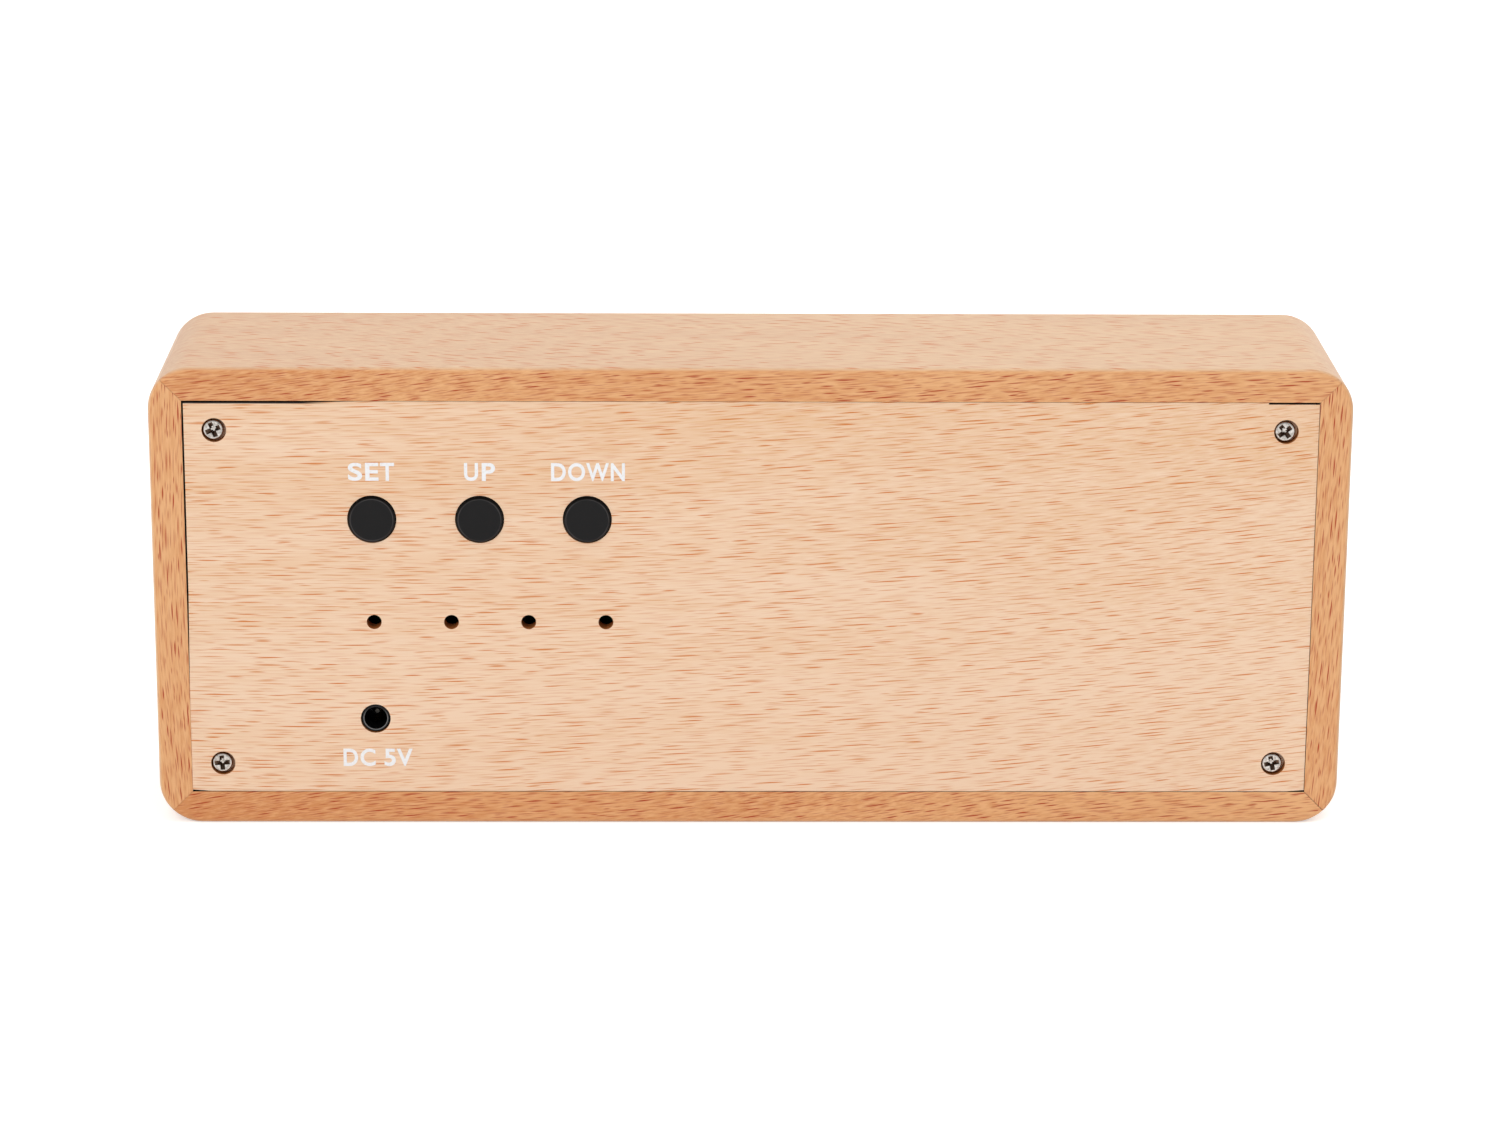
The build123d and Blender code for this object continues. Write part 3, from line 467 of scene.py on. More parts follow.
def cut_walls(add, place, facing, wood, settings):
    """Browns the walls of the drilled holes, and paints the gap's shade on the panel's edges and on its top
    at one corner.
    """
    rim_width = 1.2
    rim_blur = 0.2
    shade_fade_depth = 0.5
    full_depth = 0.35
    shade_fade_length = 25
    full_length = 20
    turn = add("SeparateXYZ", {"Vector": facing}).outputs["Y"]
    flat = add("Math", {0: turn}, "ABSOLUTE")
    wall = add("MapRange", {"Value": flat, "From Min": 0.4, "From Max": 0.7, "To Min": 1.0, "To Max": 0.0})
    low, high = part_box("rear_panel")
    centred = add("VectorMath", {0: place, 1: box_middle("rear_panel") / MM}, "SUBTRACT")
    away = add("VectorMath", {0: centred}, "ABSOLUTE")
    past = add("VectorMath", {0: away, 1: (high - low) / 2 / MM}, "SUBTRACT")
    sides = add("SeparateXYZ", {"Vector": past})
    edge = add("Math", {0: sides.outputs["X"], 1: sides.outputs["Z"]}, "MAXIMUM")
    # Painted shade on the panel's own edges, which lie in the gap round it
    rim = add("MapRange", {"Value": edge, "From Min": -rim_width, "From Max": rim_blur - rim_width})
    tint = add("Mix", {0: rim, 6: settings.drilled, 7: settings.painted_gap_shade}, "RGBA")
    at = add("SeparateXYZ", {"Vector": place})
    top = high.z / MM
    end = high.x / MM
    # Painted shade along the top of the panel at one corner, widening the shaded gap line there
    down = {"Value": at.outputs["Z"], "From Min": top - shade_fade_depth, "From Max": top - full_depth}
    along = {"Value": at.outputs["X"], "From Min": end - shade_fade_length, "From Max": end - full_length}
    both = {0: add("MapRange", down), 1: add("MapRange", along)}
    gap_line_shade = add("Math", both, "MULTIPLY")
    wood = add("Mix", {0: gap_line_shade, 6: wood, 7: settings.painted_gap_shade}, "RGBA")
    return add("Mix", {0: wall, 6: wood, 7: tint}, "RGBA"), wall


def glue_line(add, place, wood, tint):
    """Darkens the wood in a hair line along the four mitres, in patches, and most at one lower corner."""
    half_width = 0.2
    middle = cad_high.z / 2 / MM
    side = cad_high.x / MM
    at = add("SeparateXYZ", {"Vector": place})
    out = add("Math", {0: at.outputs["X"]}, "ABSOLUTE")
    from_ridge = add("Math", {0: out, 1: side - middle}, "SUBTRACT")
    level = add("Math", {0: at.outputs["Z"], 1: middle}, "SUBTRACT")
    height = add("Math", {0: level}, "ABSOLUTE")
    off = add("Math", {0: from_ridge, 1: height}, "SUBTRACT")
    away = add("Math", {0: off}, "ABSOLUTE")
    line = add("MapRange", {"Value": away, "From Max": half_width, "To Min": 1.0, "To Max": 0.0})
    patches = add("TexNoise", {"Vector": place, "Scale": 0.12, "Detail": 2.0})
    patch = add("MapRange", {"Value": patches, "From Min": 0.3, "From Max": 0.6, "To Min": 0.5})
    corner = add("Math", {0: at.outputs["X"], 1: at.outputs["Z"]}, "ADD")
    ends = {"Value": corner, "From Min": -side, "From Max": 2 * middle - side, "To Min": 1.1, "To Max": 0.3}
    strength = add("Math", {0: patch, 1: add("MapRange", ends)}, "MULTIPLY")
    share = add("Math", {0: line, 1: strength}, "MULTIPLY")
    return add("Mix", {0: share, 6: wood, 7: tint}, "RGBA")


# Finishes with a fine random structure: two tones, size of a patch in millimetres, range of roughness,
# relief in millimetres, share of metal, and how fine the patches are along X, Y and Z. Scratches and
# streaks are drawn coarser than they are, so that they show.
EVEN = (1, 1, 1)
FINISHES = {
    # Softwood, sawn: pale yellow with darker lines of growth along the block
    "sawn_pine": (("#D9BA8A", "#B98F5C"), 1.6, (0.6, 0.8), 0.15, 0.0, (1, 0.08, 1)),
    # Nickel on steel, barrel-plated: bright, faintly yellow, with fine scratches
    "nickel_plate": (("#D6D1CB", "#8B847D"), 0.4, (0.14, 0.26), 0.006, 1.0, EVEN),
    # The same plating, with painted shade for the hollow of the cross recess: dark and brownish
    "nickel_recess": (("#8C7362", "#4A3A2F"), 0.3, (0.35, 0.55), 0.02, 1.0, EVEN),
    # Glass-filled nylon of the switches: black, a little glossier than the caps
    "switch_nylon": (("#1A191A", "#151415"), 0.22, (0.4, 0.52), 0.02, 0.0, EVEN),
    # Rolled spring steel: grey, streaked along the strip
    "spring_steel": (("#A5A5A3", "#8B8B89"), 0.3, (0.25, 0.4), 0.004, 1.0, (0.1, 1, 1)),
    # Polyester film that spreads the light: milky and smooth
    "milky_film": (("#F2F1EC", "#E6E5DE"), 0.8, (0.3, 0.4), 0.004, 0.0, EVEN),
    # Fibreboard: brown, dull and felted
    "fibreboard": (("#8A6848", "#6B4D33"), 0.5, (0.75, 0.9), 0.05, 0.0, EVEN),
    # Resin over the lights: clouded, yellowish and glossy
    "led_resin": (("#F6F1DD", "#EBE3C6"), 0.4, (0.2, 0.3), 0.004, 0.0, EVEN),
    # Turned pin, nickel-plated, darkened with painted shade for the deep bore that it sits in: fine rings
    # from the lathe
    "turned_pin": (("#6B6862", "#4C4944"), 0.12, (0.4, 0.52), 0.004, 1.0, (0.05, 1, 0.05)),
    # Epoxy of the chips: near black and matt, with a fine grain
    "chip_epoxy": (("#232325", "#1B1B1D"), 0.3, (0.55, 0.7), 0.02, 0.0, EVEN),
    # Nylon without colour: milky and waxy
    "nylon_natural": (("#E4E1D6", "#D8D4C6"), 0.9, (0.4, 0.5), 0.01, 0.0, EVEN),
    # Nylon of the plugs: ivory, with a faint cloud
    "connector_nylon": (("#E3DCC4", "#D6CDB2"), 0.7, (0.42, 0.52), 0.01, 0.0, EVEN),
    # Phenolic moulding: black, half matt
    "phenolic_black": (("#1C1B1B", "#131313"), 0.4, (0.45, 0.58), 0.015, 0.0, EVEN),
    # Vinyl jacket of the ribbon: grey and soft
    "ribbon_vinyl": (("#8B8D90", "#7C7E82"), 1.2, (0.4, 0.5), 0.01, 0.0, EVEN),
    # Zinc on steel: pale grey, streaked along the screws
    "zinc_steel": (("#B4B4B0", "#959591"), 0.4, (0.3, 0.45), 0.008, 1.0, (1, 0.2, 1)),
    # Tin on copper: white and soft, with a fine frost
    "tinned_copper": (("#C9C9C5", "#AEAEA9"), 0.25, (0.3, 0.42), 0.006, 1.0, EVEN),
    # Brass sheet: yellow, streaked the way that it was rolled
    "rolled_brass": (("#CDA65A", "#B28A42"), 0.35, (0.25, 0.4), 0.005, 1.0, (0.2, 1, 1)),
    # Drawn aluminium can: pale, streaked along its height
    "drawn_aluminium": (("#C3C4C6", "#A8A9AB"), 0.3, (0.3, 0.42), 0.006, 1.0, (1, 0.1, 1)),
}


def mottled(name):
    """One of these finishes, its colour, gloss and relief all following the same patches."""
    (first, second), patch, (smoothest, roughest), relief, metallic, fineness = FINISHES[name]
    material, add, place = new_material(name)
    spots = add("Mapping", {"Vector": place, "Scale": [share / patch for share in fineness]})
    grit = add("TexNoise", {"Vector": spots, "Scale": 1.0, "Detail": 3.0, "Roughness": 0.6})
    share = add("MapRange", {"Value": grit, "From Min": 0.3, "From Max": 0.7})
    tint = add("Mix", {0: share, 6: linear(first), 7: linear(second)}, "RGBA")
    surface = {
        "Base Color": tint,
        "Roughness": add("MapRange", {"Value": grit, "To Min": smoothest, "To Max": roughest}),
        "Metallic": metallic,
        "Normal": add("Bump", {"Height": grit, "Strength": 0.3, "Distance": relief * MM}),
    }
    cover(add, surface)
    return material


def box_middle(node):
    """Middle of a CAD part's box."""
    low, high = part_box(node)
    return (low + high) / 2


def from_axis(add, place, node):
    """Distance in millimetres from the axis of a round part that points along Y."""
    aside = add("VectorMath", {0: place, 1: box_middle(node) / MM}, "SUBTRACT")
    around = add("VectorMath", {0: aside, 1: (1, 0, 1)}, "MULTIPLY")
    return add("VectorMath", {0: around}, "LENGTH")


def ring(add, radius, middle, inner, outer):
    """1 on a ring round an axis, fading to 0 between two distances from its middle line, in millimetres."""
    off = add("Math", {0: radius, 1: middle}, "SUBTRACT")
    away = add("Math", {0: off}, "ABSOLUTE")
    fade = {"Value": away, "From Min": inner, "From Max": outer, "To Min": 1.0, "To Max": 0.0}
    return add("MapRange", fade)


def button_plastic(button):
    """ABS moulded in a spark-eroded tool: black and matt with a fine grit, a painted grey highlight and
    painted shade at its edge.
    """
    rim_radius = 3.56
    rim_width = 0.11
    skirt_start = 3.66
    skirt_full = 3.72
    material, add, place = new_material(f"moulded_abs_{button}")
    grit = add("TexNoise", {"Vector": place, "Scale": 4.5, "Detail": 3.0})
    face = add("Mix", {0: grit, 6: linear("#0B0A0B"), 7: linear("#131213")}, "RGBA")
    radius = from_axis(add, place, f"{button}_button")
    # Painted highlight: a grey ring in patches on the edge of the top, where it would catch light from
    # above
    rim = ring(add, radius, middle=rim_radius, inner=0.0, outer=rim_width)
    patches = add("TexNoise", {"Vector": place, "Scale": 0.25, "Detail": 1.0})
    highlit = add("MapRange", {"Value": patches, "From Min": 0.35, "From Max": 0.6, "To Min": 0.2})
    highlight_share = add("Math", {0: rim, 1: highlit}, "MULTIPLY")
    edge = add("Mix", {0: highlight_share, 6: face, 7: linear("#454343")}, "RGBA")
    # Painted shade: near black on the skirt outside the top, which falls away into the hole
    shaded_skirt = add("MapRange", {"Value": radius, "From Min": skirt_start, "From Max": skirt_full})
    surface = {
        "Base Color": add("Mix", {0: shaded_skirt, 6: edge, 7: linear("#040404")}, "RGBA"),
        "Roughness": 0.5,
        "Specular IOR Level": 0.2,
        "Normal": add("Bump", {"Height": grit, "Strength": 0.3, "Distance": 0.02 * MM}),
    }
    cover(add, surface)
    return material


def socket_plastic():
    """Glass-filled polyester: near black, with a painted grey highlight on its lip, less at the top."""
    material, add, place = new_material("socket_plastic")
    lip = ring(add, from_axis(add, place, "jack_centre_pin"), middle=2.0, inner=0.04, outer=0.12)
    facing = add("NewGeometry").outputs["True Normal"]
    turn = add("SeparateXYZ", {"Vector": facing}).outputs["Y"]
    end = add("MapRange", {"Value": turn, "From Min": 0.5, "From Max": 0.7})
    height = add("SeparateXYZ", {"Vector": place}).outputs["Z"]
    middle = box_middle("jack_centre_pin").z / MM
    highlit = middle + 0.2
    unlit = middle + 1.6
    lower = {"Value": height, "From Min": highlit, "From Max": unlit, "To Min": 1, "To Max": 0.05}
    # Painted highlight: the grey lip on the socket's end face, full low down and fading out towards the top
    highlight_share = add("Math", {0: end, 1: add("MapRange", lower)}, "MULTIPLY")
    share = add("Math", {0: lip, 1: highlight_share}, "MULTIPLY")
    tint = add("Mix", {0: share, 6: linear("#0D0D0D"), 7: linear("#7A7A7A")}, "RGBA")
    cover(add, {"Base Color": tint, "Roughness": 0.4, "Specular IOR Level": 0.2})
    return material


def solder_mask():
    """Glass-fibre board under green solder mask: the copper tracks show through as paler lines."""
    material, add, place = new_material("solder_mask_green")
    tracks = add("TexVoronoi", {"Vector": place, "Scale": 0.22, "Randomness": 0.75}, "DISTANCE_TO_EDGE")
    near = {"Value": tracks, "From Min": 0.04, "From Max": 0.06, "To Min": 1.0, "To Max": 0.0}
    copper = add("MapRange", near)
    tint = add("Mix", {0: copper, 6: linear("#0F4D2B"), 7: linear("#1F7040")}, "RGBA")
    bumps = add("Bump", {"Height": copper, "Strength": 0.4, "Distance": 0.035 * MM})
    cover(add, {"Base Color": tint, "Roughness": 0.32, "Normal": bumps})
    return material


def printed_ink(settings):
    """White ink, a little thin here and there, so that it isn't one flat white."""
    material, add, place = new_material("printed_ink")
    patches = add("TexNoise", {"Vector": place, "Scale": 2.5, "Detail": 3.0})
    share = add("MapRange", {"Value": patches, "From Min": 0.5, "From Max": 0.85})
    tint = add("Mix", {0: share, 6: settings.ink, 7: settings.worn_ink}, "RGBA")
    cover(add, {"Base Color": tint, "Roughness": 0.6})
    return material


def coat(piece, material):
    """Gives a piece one finish, in place of any that it has."""
    piece.data.materials.clear()
    piece.data.materials.append(material)


def dress(material, *nodes):
    """Gives CAD parts their finish."""
    for node in nodes:
        coat(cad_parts[node], material)


# Modelling

# A face points up or down where its normal does so by more than this share
STEEP = 0.9


def take(*pieces):
    """Selects these pieces alone, with the first of them active."""
    bpy.ops.object.select_all(action="DESELECT")
    for piece in pieces:
        piece.select_set(True)
    bpy.context.view_layer.objects.active = pieces[0]


def pick(kind, test):
    """In edit mode, selects the faces or the edges that pass a test, and nothing else."""
    bpy.ops.mesh.select_mode(type=kind)
    bpy.ops.mesh.select_all(action="DESELECT")
    mesh = bpy.context.edit_object.data
    shape = bmesh.from_edit_mesh(mesh)
    for part in shape.faces if kind == "FACE" else shape.edges:
        part.select_set(test(part))
    bmesh.update_edit_mesh(mesh)


def extrude(along):
    """Extrudes the selected faces by a vector."""
    bpy.ops.mesh.extrude_region_move(TRANSFORM_OT_translate={"value": along})


def shrink(share, centre):
    """Scales the selection across the Z axis, about a point."""
    bpy.ops.transform.resize(value=(share, share, 1), center_override=centre)


def cut(piece, cutter):
    """Cuts one piece out of another, and removes the cutter."""
    take(piece)
    step = piece.modifiers.new("Cut", "BOOLEAN")
    step.object = cutter
    step.operation = "DIFFERENCE"
    step.solver = "EXACT"
    step.use_self = True
    step.material_mode = "TRANSFER"
    bpy.ops.object.modifier_apply(modifier=step.name)
    bpy.data.objects.remove(cutter)


def model_screw(settings, nickel, shadowed):
    """One screw along Z: pan head above its seat at Z = 0, threaded shank below."""
    head = settings.head_diameter / 2
    shank = settings.shank_diameter / 2
    root = shank - settings.thread_depth
    screws_low, screws_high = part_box("rear_panel_screws")
    shank_length = screws_high.y - screws_low.y - settings.head_height

    bpy.ops.mesh.primitive_cylinder_add(
        vertices=settings.sides,
        radius=head,
        depth=settings.head_height,
        location=(0, 0, settings.head_height / 2),
    )
    screw = bpy.context.object
    bpy.ops.object.transform_apply(location=True, rotation=True, scale=True)
    screw.data.materials.append(nickel)
    bpy.ops.object.mode_set(mode="EDIT")
    slack = 0.01 * MM
    top = settings.head_height - slack
    pick("EDGE", lambda edge: all(end.co.z > top for end in edge.verts))
    bpy.ops.mesh.bevel(offset=settings.head_round, segments=6, profile=0.6, affect="EDGES")

    pick("FACE", lambda face: face.normal.z < -STEEP)
    bpy.ops.mesh.inset(thickness=head - shank)
    turns_of_tip = 2
    turns = int(shank_length / settings.thread_pitch) - turns_of_tip
    depth = 0.0
    for _ in range(turns):
        for share in (root / shank, shank / root):
            extrude((0, 0, -settings.thread_pitch / 2))
            depth -= settings.thread_pitch / 2
            shrink(share, (0, 0, depth))
    extrude((0, 0, -shank_length - depth))
    tip_share = 0.05
    shrink(tip_share, (0, 0, -shank_length))
    bpy.ops.object.mode_set(mode="OBJECT")

    for turn in (0, 90):
        cut(screw, recess_wing(settings, turn, shadowed))
    take(screw)
    # The floor of the recess keeps the plain nickel, out of the painted shade, so that it shows bright
    bpy.ops.object.mode_set(mode="EDIT")
    floor_band = 0.2 * MM
    highest = settings.head_height - settings.recess_depth + floor_band
    pick("FACE", lambda face: face.normal.z > STEEP and 0 < face.calc_center_median().z < highest)
    screw.active_material_index = screw.data.materials.find(nickel.name)
    bpy.ops.object.material_slot_assign()
    bpy.ops.object.mode_set(mode="OBJECT")
    edge = screw.modifiers.new("Edge", "BEVEL")
    edge.width = 0.04 * MM
    edge.segments = 2
    edge.limit_method = "ANGLE"
    edge.angle_limit = 40 * DEGREE
    bpy.ops.object.modifier_apply(modifier=edge.name)
    bpy.ops.object.shade_smooth_by_angle(angle=35 * DEGREE)
    return screw


def recess_wing(settings, turn, material):
    """The cutter of one bar of the cross recess, narrower at its foot."""
    overrun = 0.2 * MM
    foot_shares = (0.32, 0.45, 1)
    bpy.ops.mesh.primitive_cube_add(
        size=1,
        location=(0, 0, settings.head_height - settings.recess_depth / 2),
        scale=(settings.recess_length, settings.recess_width, settings.recess_depth + overrun),
    )
    wing = bpy.context.object
    bpy.ops.object.transform_apply(location=True, rotation=True, scale=True)
    wing.data.materials.append(material)
    bpy.ops.object.mode_set(mode="EDIT")
    pick("FACE", lambda face: face.normal.z < -STEEP)
    bpy.ops.transform.resize(value=foot_shares, center_override=(0, 0, 0))
    bpy.ops.object.mode_set(mode="OBJECT")
    wing.data.transform(Matrix.Rotation(turn * DEGREE, 4, "Z"))
    return wing


# Letters of the labels: space before, width and space after, as shares of their height
LETTER_SHARES = {
    "C": (0.07, 0.88, 0.06),
    "D": (0.10, 0.84, 0.07),
    "E": (0.10, 0.76, 0.07),
    "N": (0.10, 0.80, 0.11),
    "O": (0.06, 0.97, 0.06),
    "P": (0.10, 0.76, 0.07),
    "S": (0.05, 0.81, 0.07),
    "T": (0.03, 0.80, 0.03),
    "U": (0.10, 0.80, 0.11),
    "V": (0.00, 0.93, 0.00),
    "W": (0.00, 1.31, 0.00),
    "5": (0.06, 0.66, 0.06),
    " ": (0.00, 0.39, 0.00),
}


def letter(sign, settings):
    """One letter as a flat slab of 1 by 1 by 1 with its low corner at the origin."""
    bpy.ops.object.text_add()
    text = bpy.context.object
    text.data.body = sign
    text.data.offset = settings.boldness
    text.data.extrude = 1.0
    bpy.ops.object.convert(target="MESH")
    slab = bpy.context.object
    corners = [Vector(corner) for corner in slab.bound_box]
    low = Vector(map(min, *corners))
    size = Vector(map(max, *corners)) - low
    shares = (1 / size.x, 1 / size.y, 1 / size.z, 1)
    slab.data.transform(Matrix.Diagonal(shares) @ Matrix.Translation(-low))
    return slab


def print_label(name, text, centre, settings, ink):
    """Prints words on the back panel in upright bold capitals: a thin film of ink, read from the rear."""
    height = settings.letter_height
    stretch = height * settings.narrowness
    slabs = []
    pen = 0.0
    for sign in text:
        before, width, after = LETTER_SHARES[sign]
        pen += before
        if sign != " ":
            slab = letter(sign, settings)
            box = Matrix.Diagonal((width * stretch, height, settings.ink_thickness, 1))
            slab.data.transform(Matrix.Translation((pen * stretch, 0, 0)) @ box)
            slabs.append(slab)
        pen += width + after
    take(*slabs)
    bpy.ops.object.join()
    label = bpy.context.object
    label.name = name
    start = LETTER_SHARES[text[0]][0]
    end = pen - LETTER_SHARES[text[-1]][2]
    middle = Vector(((start + end) / 2 * stretch, height / 2, 0))
    facing_rear = Matrix.Rotation(math.pi, 4, "Z") @ Matrix.Rotation(math.pi / 2, 4, "X")
    label.data.transform(Matrix.Translation(centre) @ facing_rear @ Matrix.Translation(-middle))
    coat(label, ink)
    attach(label, "case")


# Operators


class CLOCK_OT_case(bpy.types.Operator):
    """Gives the four case boards and the glue blocks their wood"""

    bl_idname = "clock.case"
    bl_label = "Case"

    def execute(self, context):
        settings = context.scene.clock.beech
        low = cad_low / MM
        high = cad_high / MM
        boards = {
            "top": dict(grain="X", inward=(0, 0, -1), slope=0.09, shade=0.1, shade_rise=(0.0015, 0, 0)),
            "bottom": dict(grain="X", inward=(0, 0, 1), slope=0.12, shade=0.18, shade_rise=(0.005, 0, 0)),
            "left": dict(grain="Z", inward=(1, 0, 0), slope=0.05, shade=0.0, shade_rise=(0, 0, 0)),
            "right": dict(grain="Z", inward=(-1, 0, 0), slope=-0.04, shade=0.0, shade_rise=(0, 0, 0)),
        }
        # Painted shade in the gap beside a board: two places along the board, and how much there is at each
        dirt = {
            "top": ((0, 1.0), (high.x, 1.0)),
            "bottom": ((high.x - 22, 0.3), (high.x - 8, 1.3)),
            "left": ((low.z, 0.9), (high.z, -0.3)),
            "right": ((low.z, -1.0), (high.z, 2.4)),
        }
        for seed, (side, board) in enumerate(boards.items(), start=1):
            board["dirt"] = dirt[side]
            look = wood_look(settings, "frame", seed=seed, bow=0.0, fibre_contrast=0.8, **board)
            dress(beech(f"beech_{side}_board", settings, look), f"case_{side}_board")
        corners = [f"{end}_{side}" for end in ("upper", "lower") for side in ("left", "right")]
        dress(mottled("sawn_pine"), *[f"corner_block_{corner}" for corner in corners])
        return {"FINISHED"}


class CLOCK_OT_back_panel(bpy.types.Operator):
    """Gives the back panel its paler beech"""

    bl_idname = "clock.back_panel"
    bl_label = "Back panel"

    def execute(self, context):
        settings = context.scene.clock.beech
        dress(beech("beech_panel", settings, panel_look(settings, seed=7), drilled=True), "rear_panel")
        return {"FINISHED"}


class CLOCK_OT_panel_screws(bpy.types.Operator):
    """Models the four cross-head screws of the back panel"""

    bl_idname = "clock.panel_screws"
    bl_label = "Panel screws"

    def execute(self, context):
        settings = context.scene.clock.screws
        model = model_screw(settings, mottled("nickel_plate"), mottled("nickel_recess"))
        low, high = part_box("rear_panel_screws")
        radius = settings.head_diameter / 2
        seat = high.y - settings.head_height
        turns = {"upper_right": 22, "lower_right": 4, "upper_left": 38, "lower_left": 12}
        for name, turn in turns.items():
            x = high.x - radius if name.endswith("right") else low.x + radius
            z = high.z - radius if name.startswith("upper") else low.z + radius
            screw = model.copy()
            screw.data = model.data.copy()
            screw.name = f"panel_screw_{name}"
            context.scene.collection.objects.link(screw)
            along_y = Matrix.Rotation(-math.pi / 2, 4, "X") @ Matrix.Rotation(turn * DEGREE, 4, "Z")
            screw.data.transform(Matrix.Translation((x, seat, z)) @ along_y)
            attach(screw, "case")
            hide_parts("rear_panel_screws")
        bpy.data.objects.remove(model)
        return {"FINISHED"}


class CLOCK_OT_labels(bpy.types.Operator):
    """Prints the words beside the buttons and the socket"""

    bl_idname = "clock.labels"
    bl_label = "Labels"

    def execute(self, context):
        settings = context.scene.clock.labels
        ink = printed_ink(settings)
        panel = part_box("rear_panel")[1].y
        half = settings.letter_height / 2
        labels = {
            "set": ("SET", "set_button", -0.03, settings.above_button),
            "up": ("UP", "up_button", -0.09, settings.above_button),
            "down": ("DOWN", "down_button", -0.15, settings.above_button),
            "socket": ("DC 5V", "jack_housing", -0.3, -settings.below_socket),
        }
        for name, (words, node, aside, rise) in labels.items():
            middle = box_middle(node)
            place = (middle.x + aside * MM, panel, middle.z + rise + half)
            print_label(f"label_{name}", words, place, settings, ink)
        return {"FINISHED"}


class CLOCK_OT_buttons(bpy.types.Operator):
    """Gives the push buttons and switches their finishes, and makes smooth copies of their domes"""

    bl_idname = "clock.buttons"
    bl_label = "Buttons"

    def execute(self, context):
        black = mottled("switch_nylon")
        spring = mottled("spring_steel")
        for button in ("set", "up", "down"):
            dress(button_plastic(button), f"{button}_button")
            dress(black, f"{button}_switch_base", f"{button}_switch_plunger")
            dress(spring, f"{button}_switch_cover")
            flexing_dome(button, spring)
        return {"FINISHED"}


def flexing_dome(button, finish):
    """A copy of a switch's dome, its doubled points merged and its shading smoothed, in place of the CAD
    part.
    """
    node = f"{button}_switch_dome"
    sheet = 0.1 * MM
    dome = bpy.data.objects.new(f"{button}_snap_dome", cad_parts[node].data.copy())
    bpy.context.scene.collection.objects.link(dome)
    take(dome)
    bpy.ops.object.mode_set(mode="EDIT")
    bpy.ops.mesh.select_all(action="SELECT")
    bpy.ops.mesh.remove_doubles(threshold=sheet / 100)
    bpy.ops.object.mode_set(mode="OBJECT")
    bpy.ops.object.shade_smooth_by_angle(angle=20 * DEGREE)
    coat(dome, finish)
    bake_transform(dome)
    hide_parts(node)


class CLOCK_OT_face(bpy.types.Operator):
    """Makes the veneer of the face, with the light of the digits in it, and finishes what lies behind"""

    bl_idname = "clock.face"
    bl_label = "Face"

    def execute(self, context):
        clock = context.scene.clock
        settings = clock.face
        low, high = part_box("face_veneer")
        width = high.x - low.x
        height = high.z - low.z
        bpy.ops.mesh.primitive_grid_add(
            x_subdivisions=round(width / settings.grid),
            y_subdivisions=round(height / settings.grid),
            size=1,
            location=((low.x + high.x) / 2, low.y, (low.z + high.z) / 2),
            rotation=(math.pi / 2, 0, 0),
        )
        face = context.object
        face.name = "lit_face"
        face.scale = (width, height, 1)
        bpy.ops.object.transform_apply(location=True, rotation=True, scale=True)
        bpy.ops.object.mode_set(mode="EDIT")
        bpy.ops.mesh.select_all(action="SELECT")
        extrude((0, high.y - low.y, 0))
        bpy.ops.mesh.select_all(action="SELECT")
        bpy.ops.mesh.normals_make_consistent(inside=False)
        bpy.ops.object.mode_set(mode="OBJECT")
        write_glow(face, settings)
        look = panel_look(clock.beech, seed=19)
        coat(face, beech("beech_veneer", clock.beech, look, glow=settings))
        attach(face, "case")
        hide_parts("face_veneer")
        dress(mottled("milky_film"), "diffuser_film")
        dress(mottled("fibreboard"), "front_board")
        dress(mottled("led_resin"), "segment_leds")
        return {"FINISHED"}


SEGMENTS = {
    "0": "abcdef",
    "1": "bc",
    "2": "abged",
    "3": "abgcd",
    "4": "fgbc",
    "5": "afgcd",
    "6": "afgedc",
    "7": "abc",
    "8": "abcdefg",
    "9": "abcdfg",
}


def lit_bars(settings, middle):
    """Middle, half length, and direction of each bar that is lit, in X and Z."""
    across = (settings.digit_width - settings.segment_width) / 2
    up = (settings.digit_height - settings.segment_width) / 2
    level_tip = across - settings.segment_gap / 2
    upright_tip = (up - settings.segment_gap) / 2
    places = {
        "a": (0, up, level_tip, 0),
        "g": (0, 0, level_tip, 0),
        "d": (0, -up, level_tip, 0),
        "b": (across, up / 2, upright_tip, 1),
        "c": (across, -up / 2, upright_tip, 1),
        "f": (-across, up / 2, upright_tip, 1),
        "e": (-across, -up / 2, upright_tip, 1),
    }
    pairs = (-settings.pair_spread / 2, settings.pair_spread / 2)
    centres = [pair + side * settings.digit_pitch / 2 for pair in pairs for side in (-1, 1)]
    digits = settings.shown.replace(":", "")
    bars = []
    for centre, digit in zip(centres, digits, strict=True):
        for segment in SEGMENTS[digit]:
            x, z, tip, upright = places[segment]
            bars.append((centre + x, middle + z, tip, upright))
    return bars


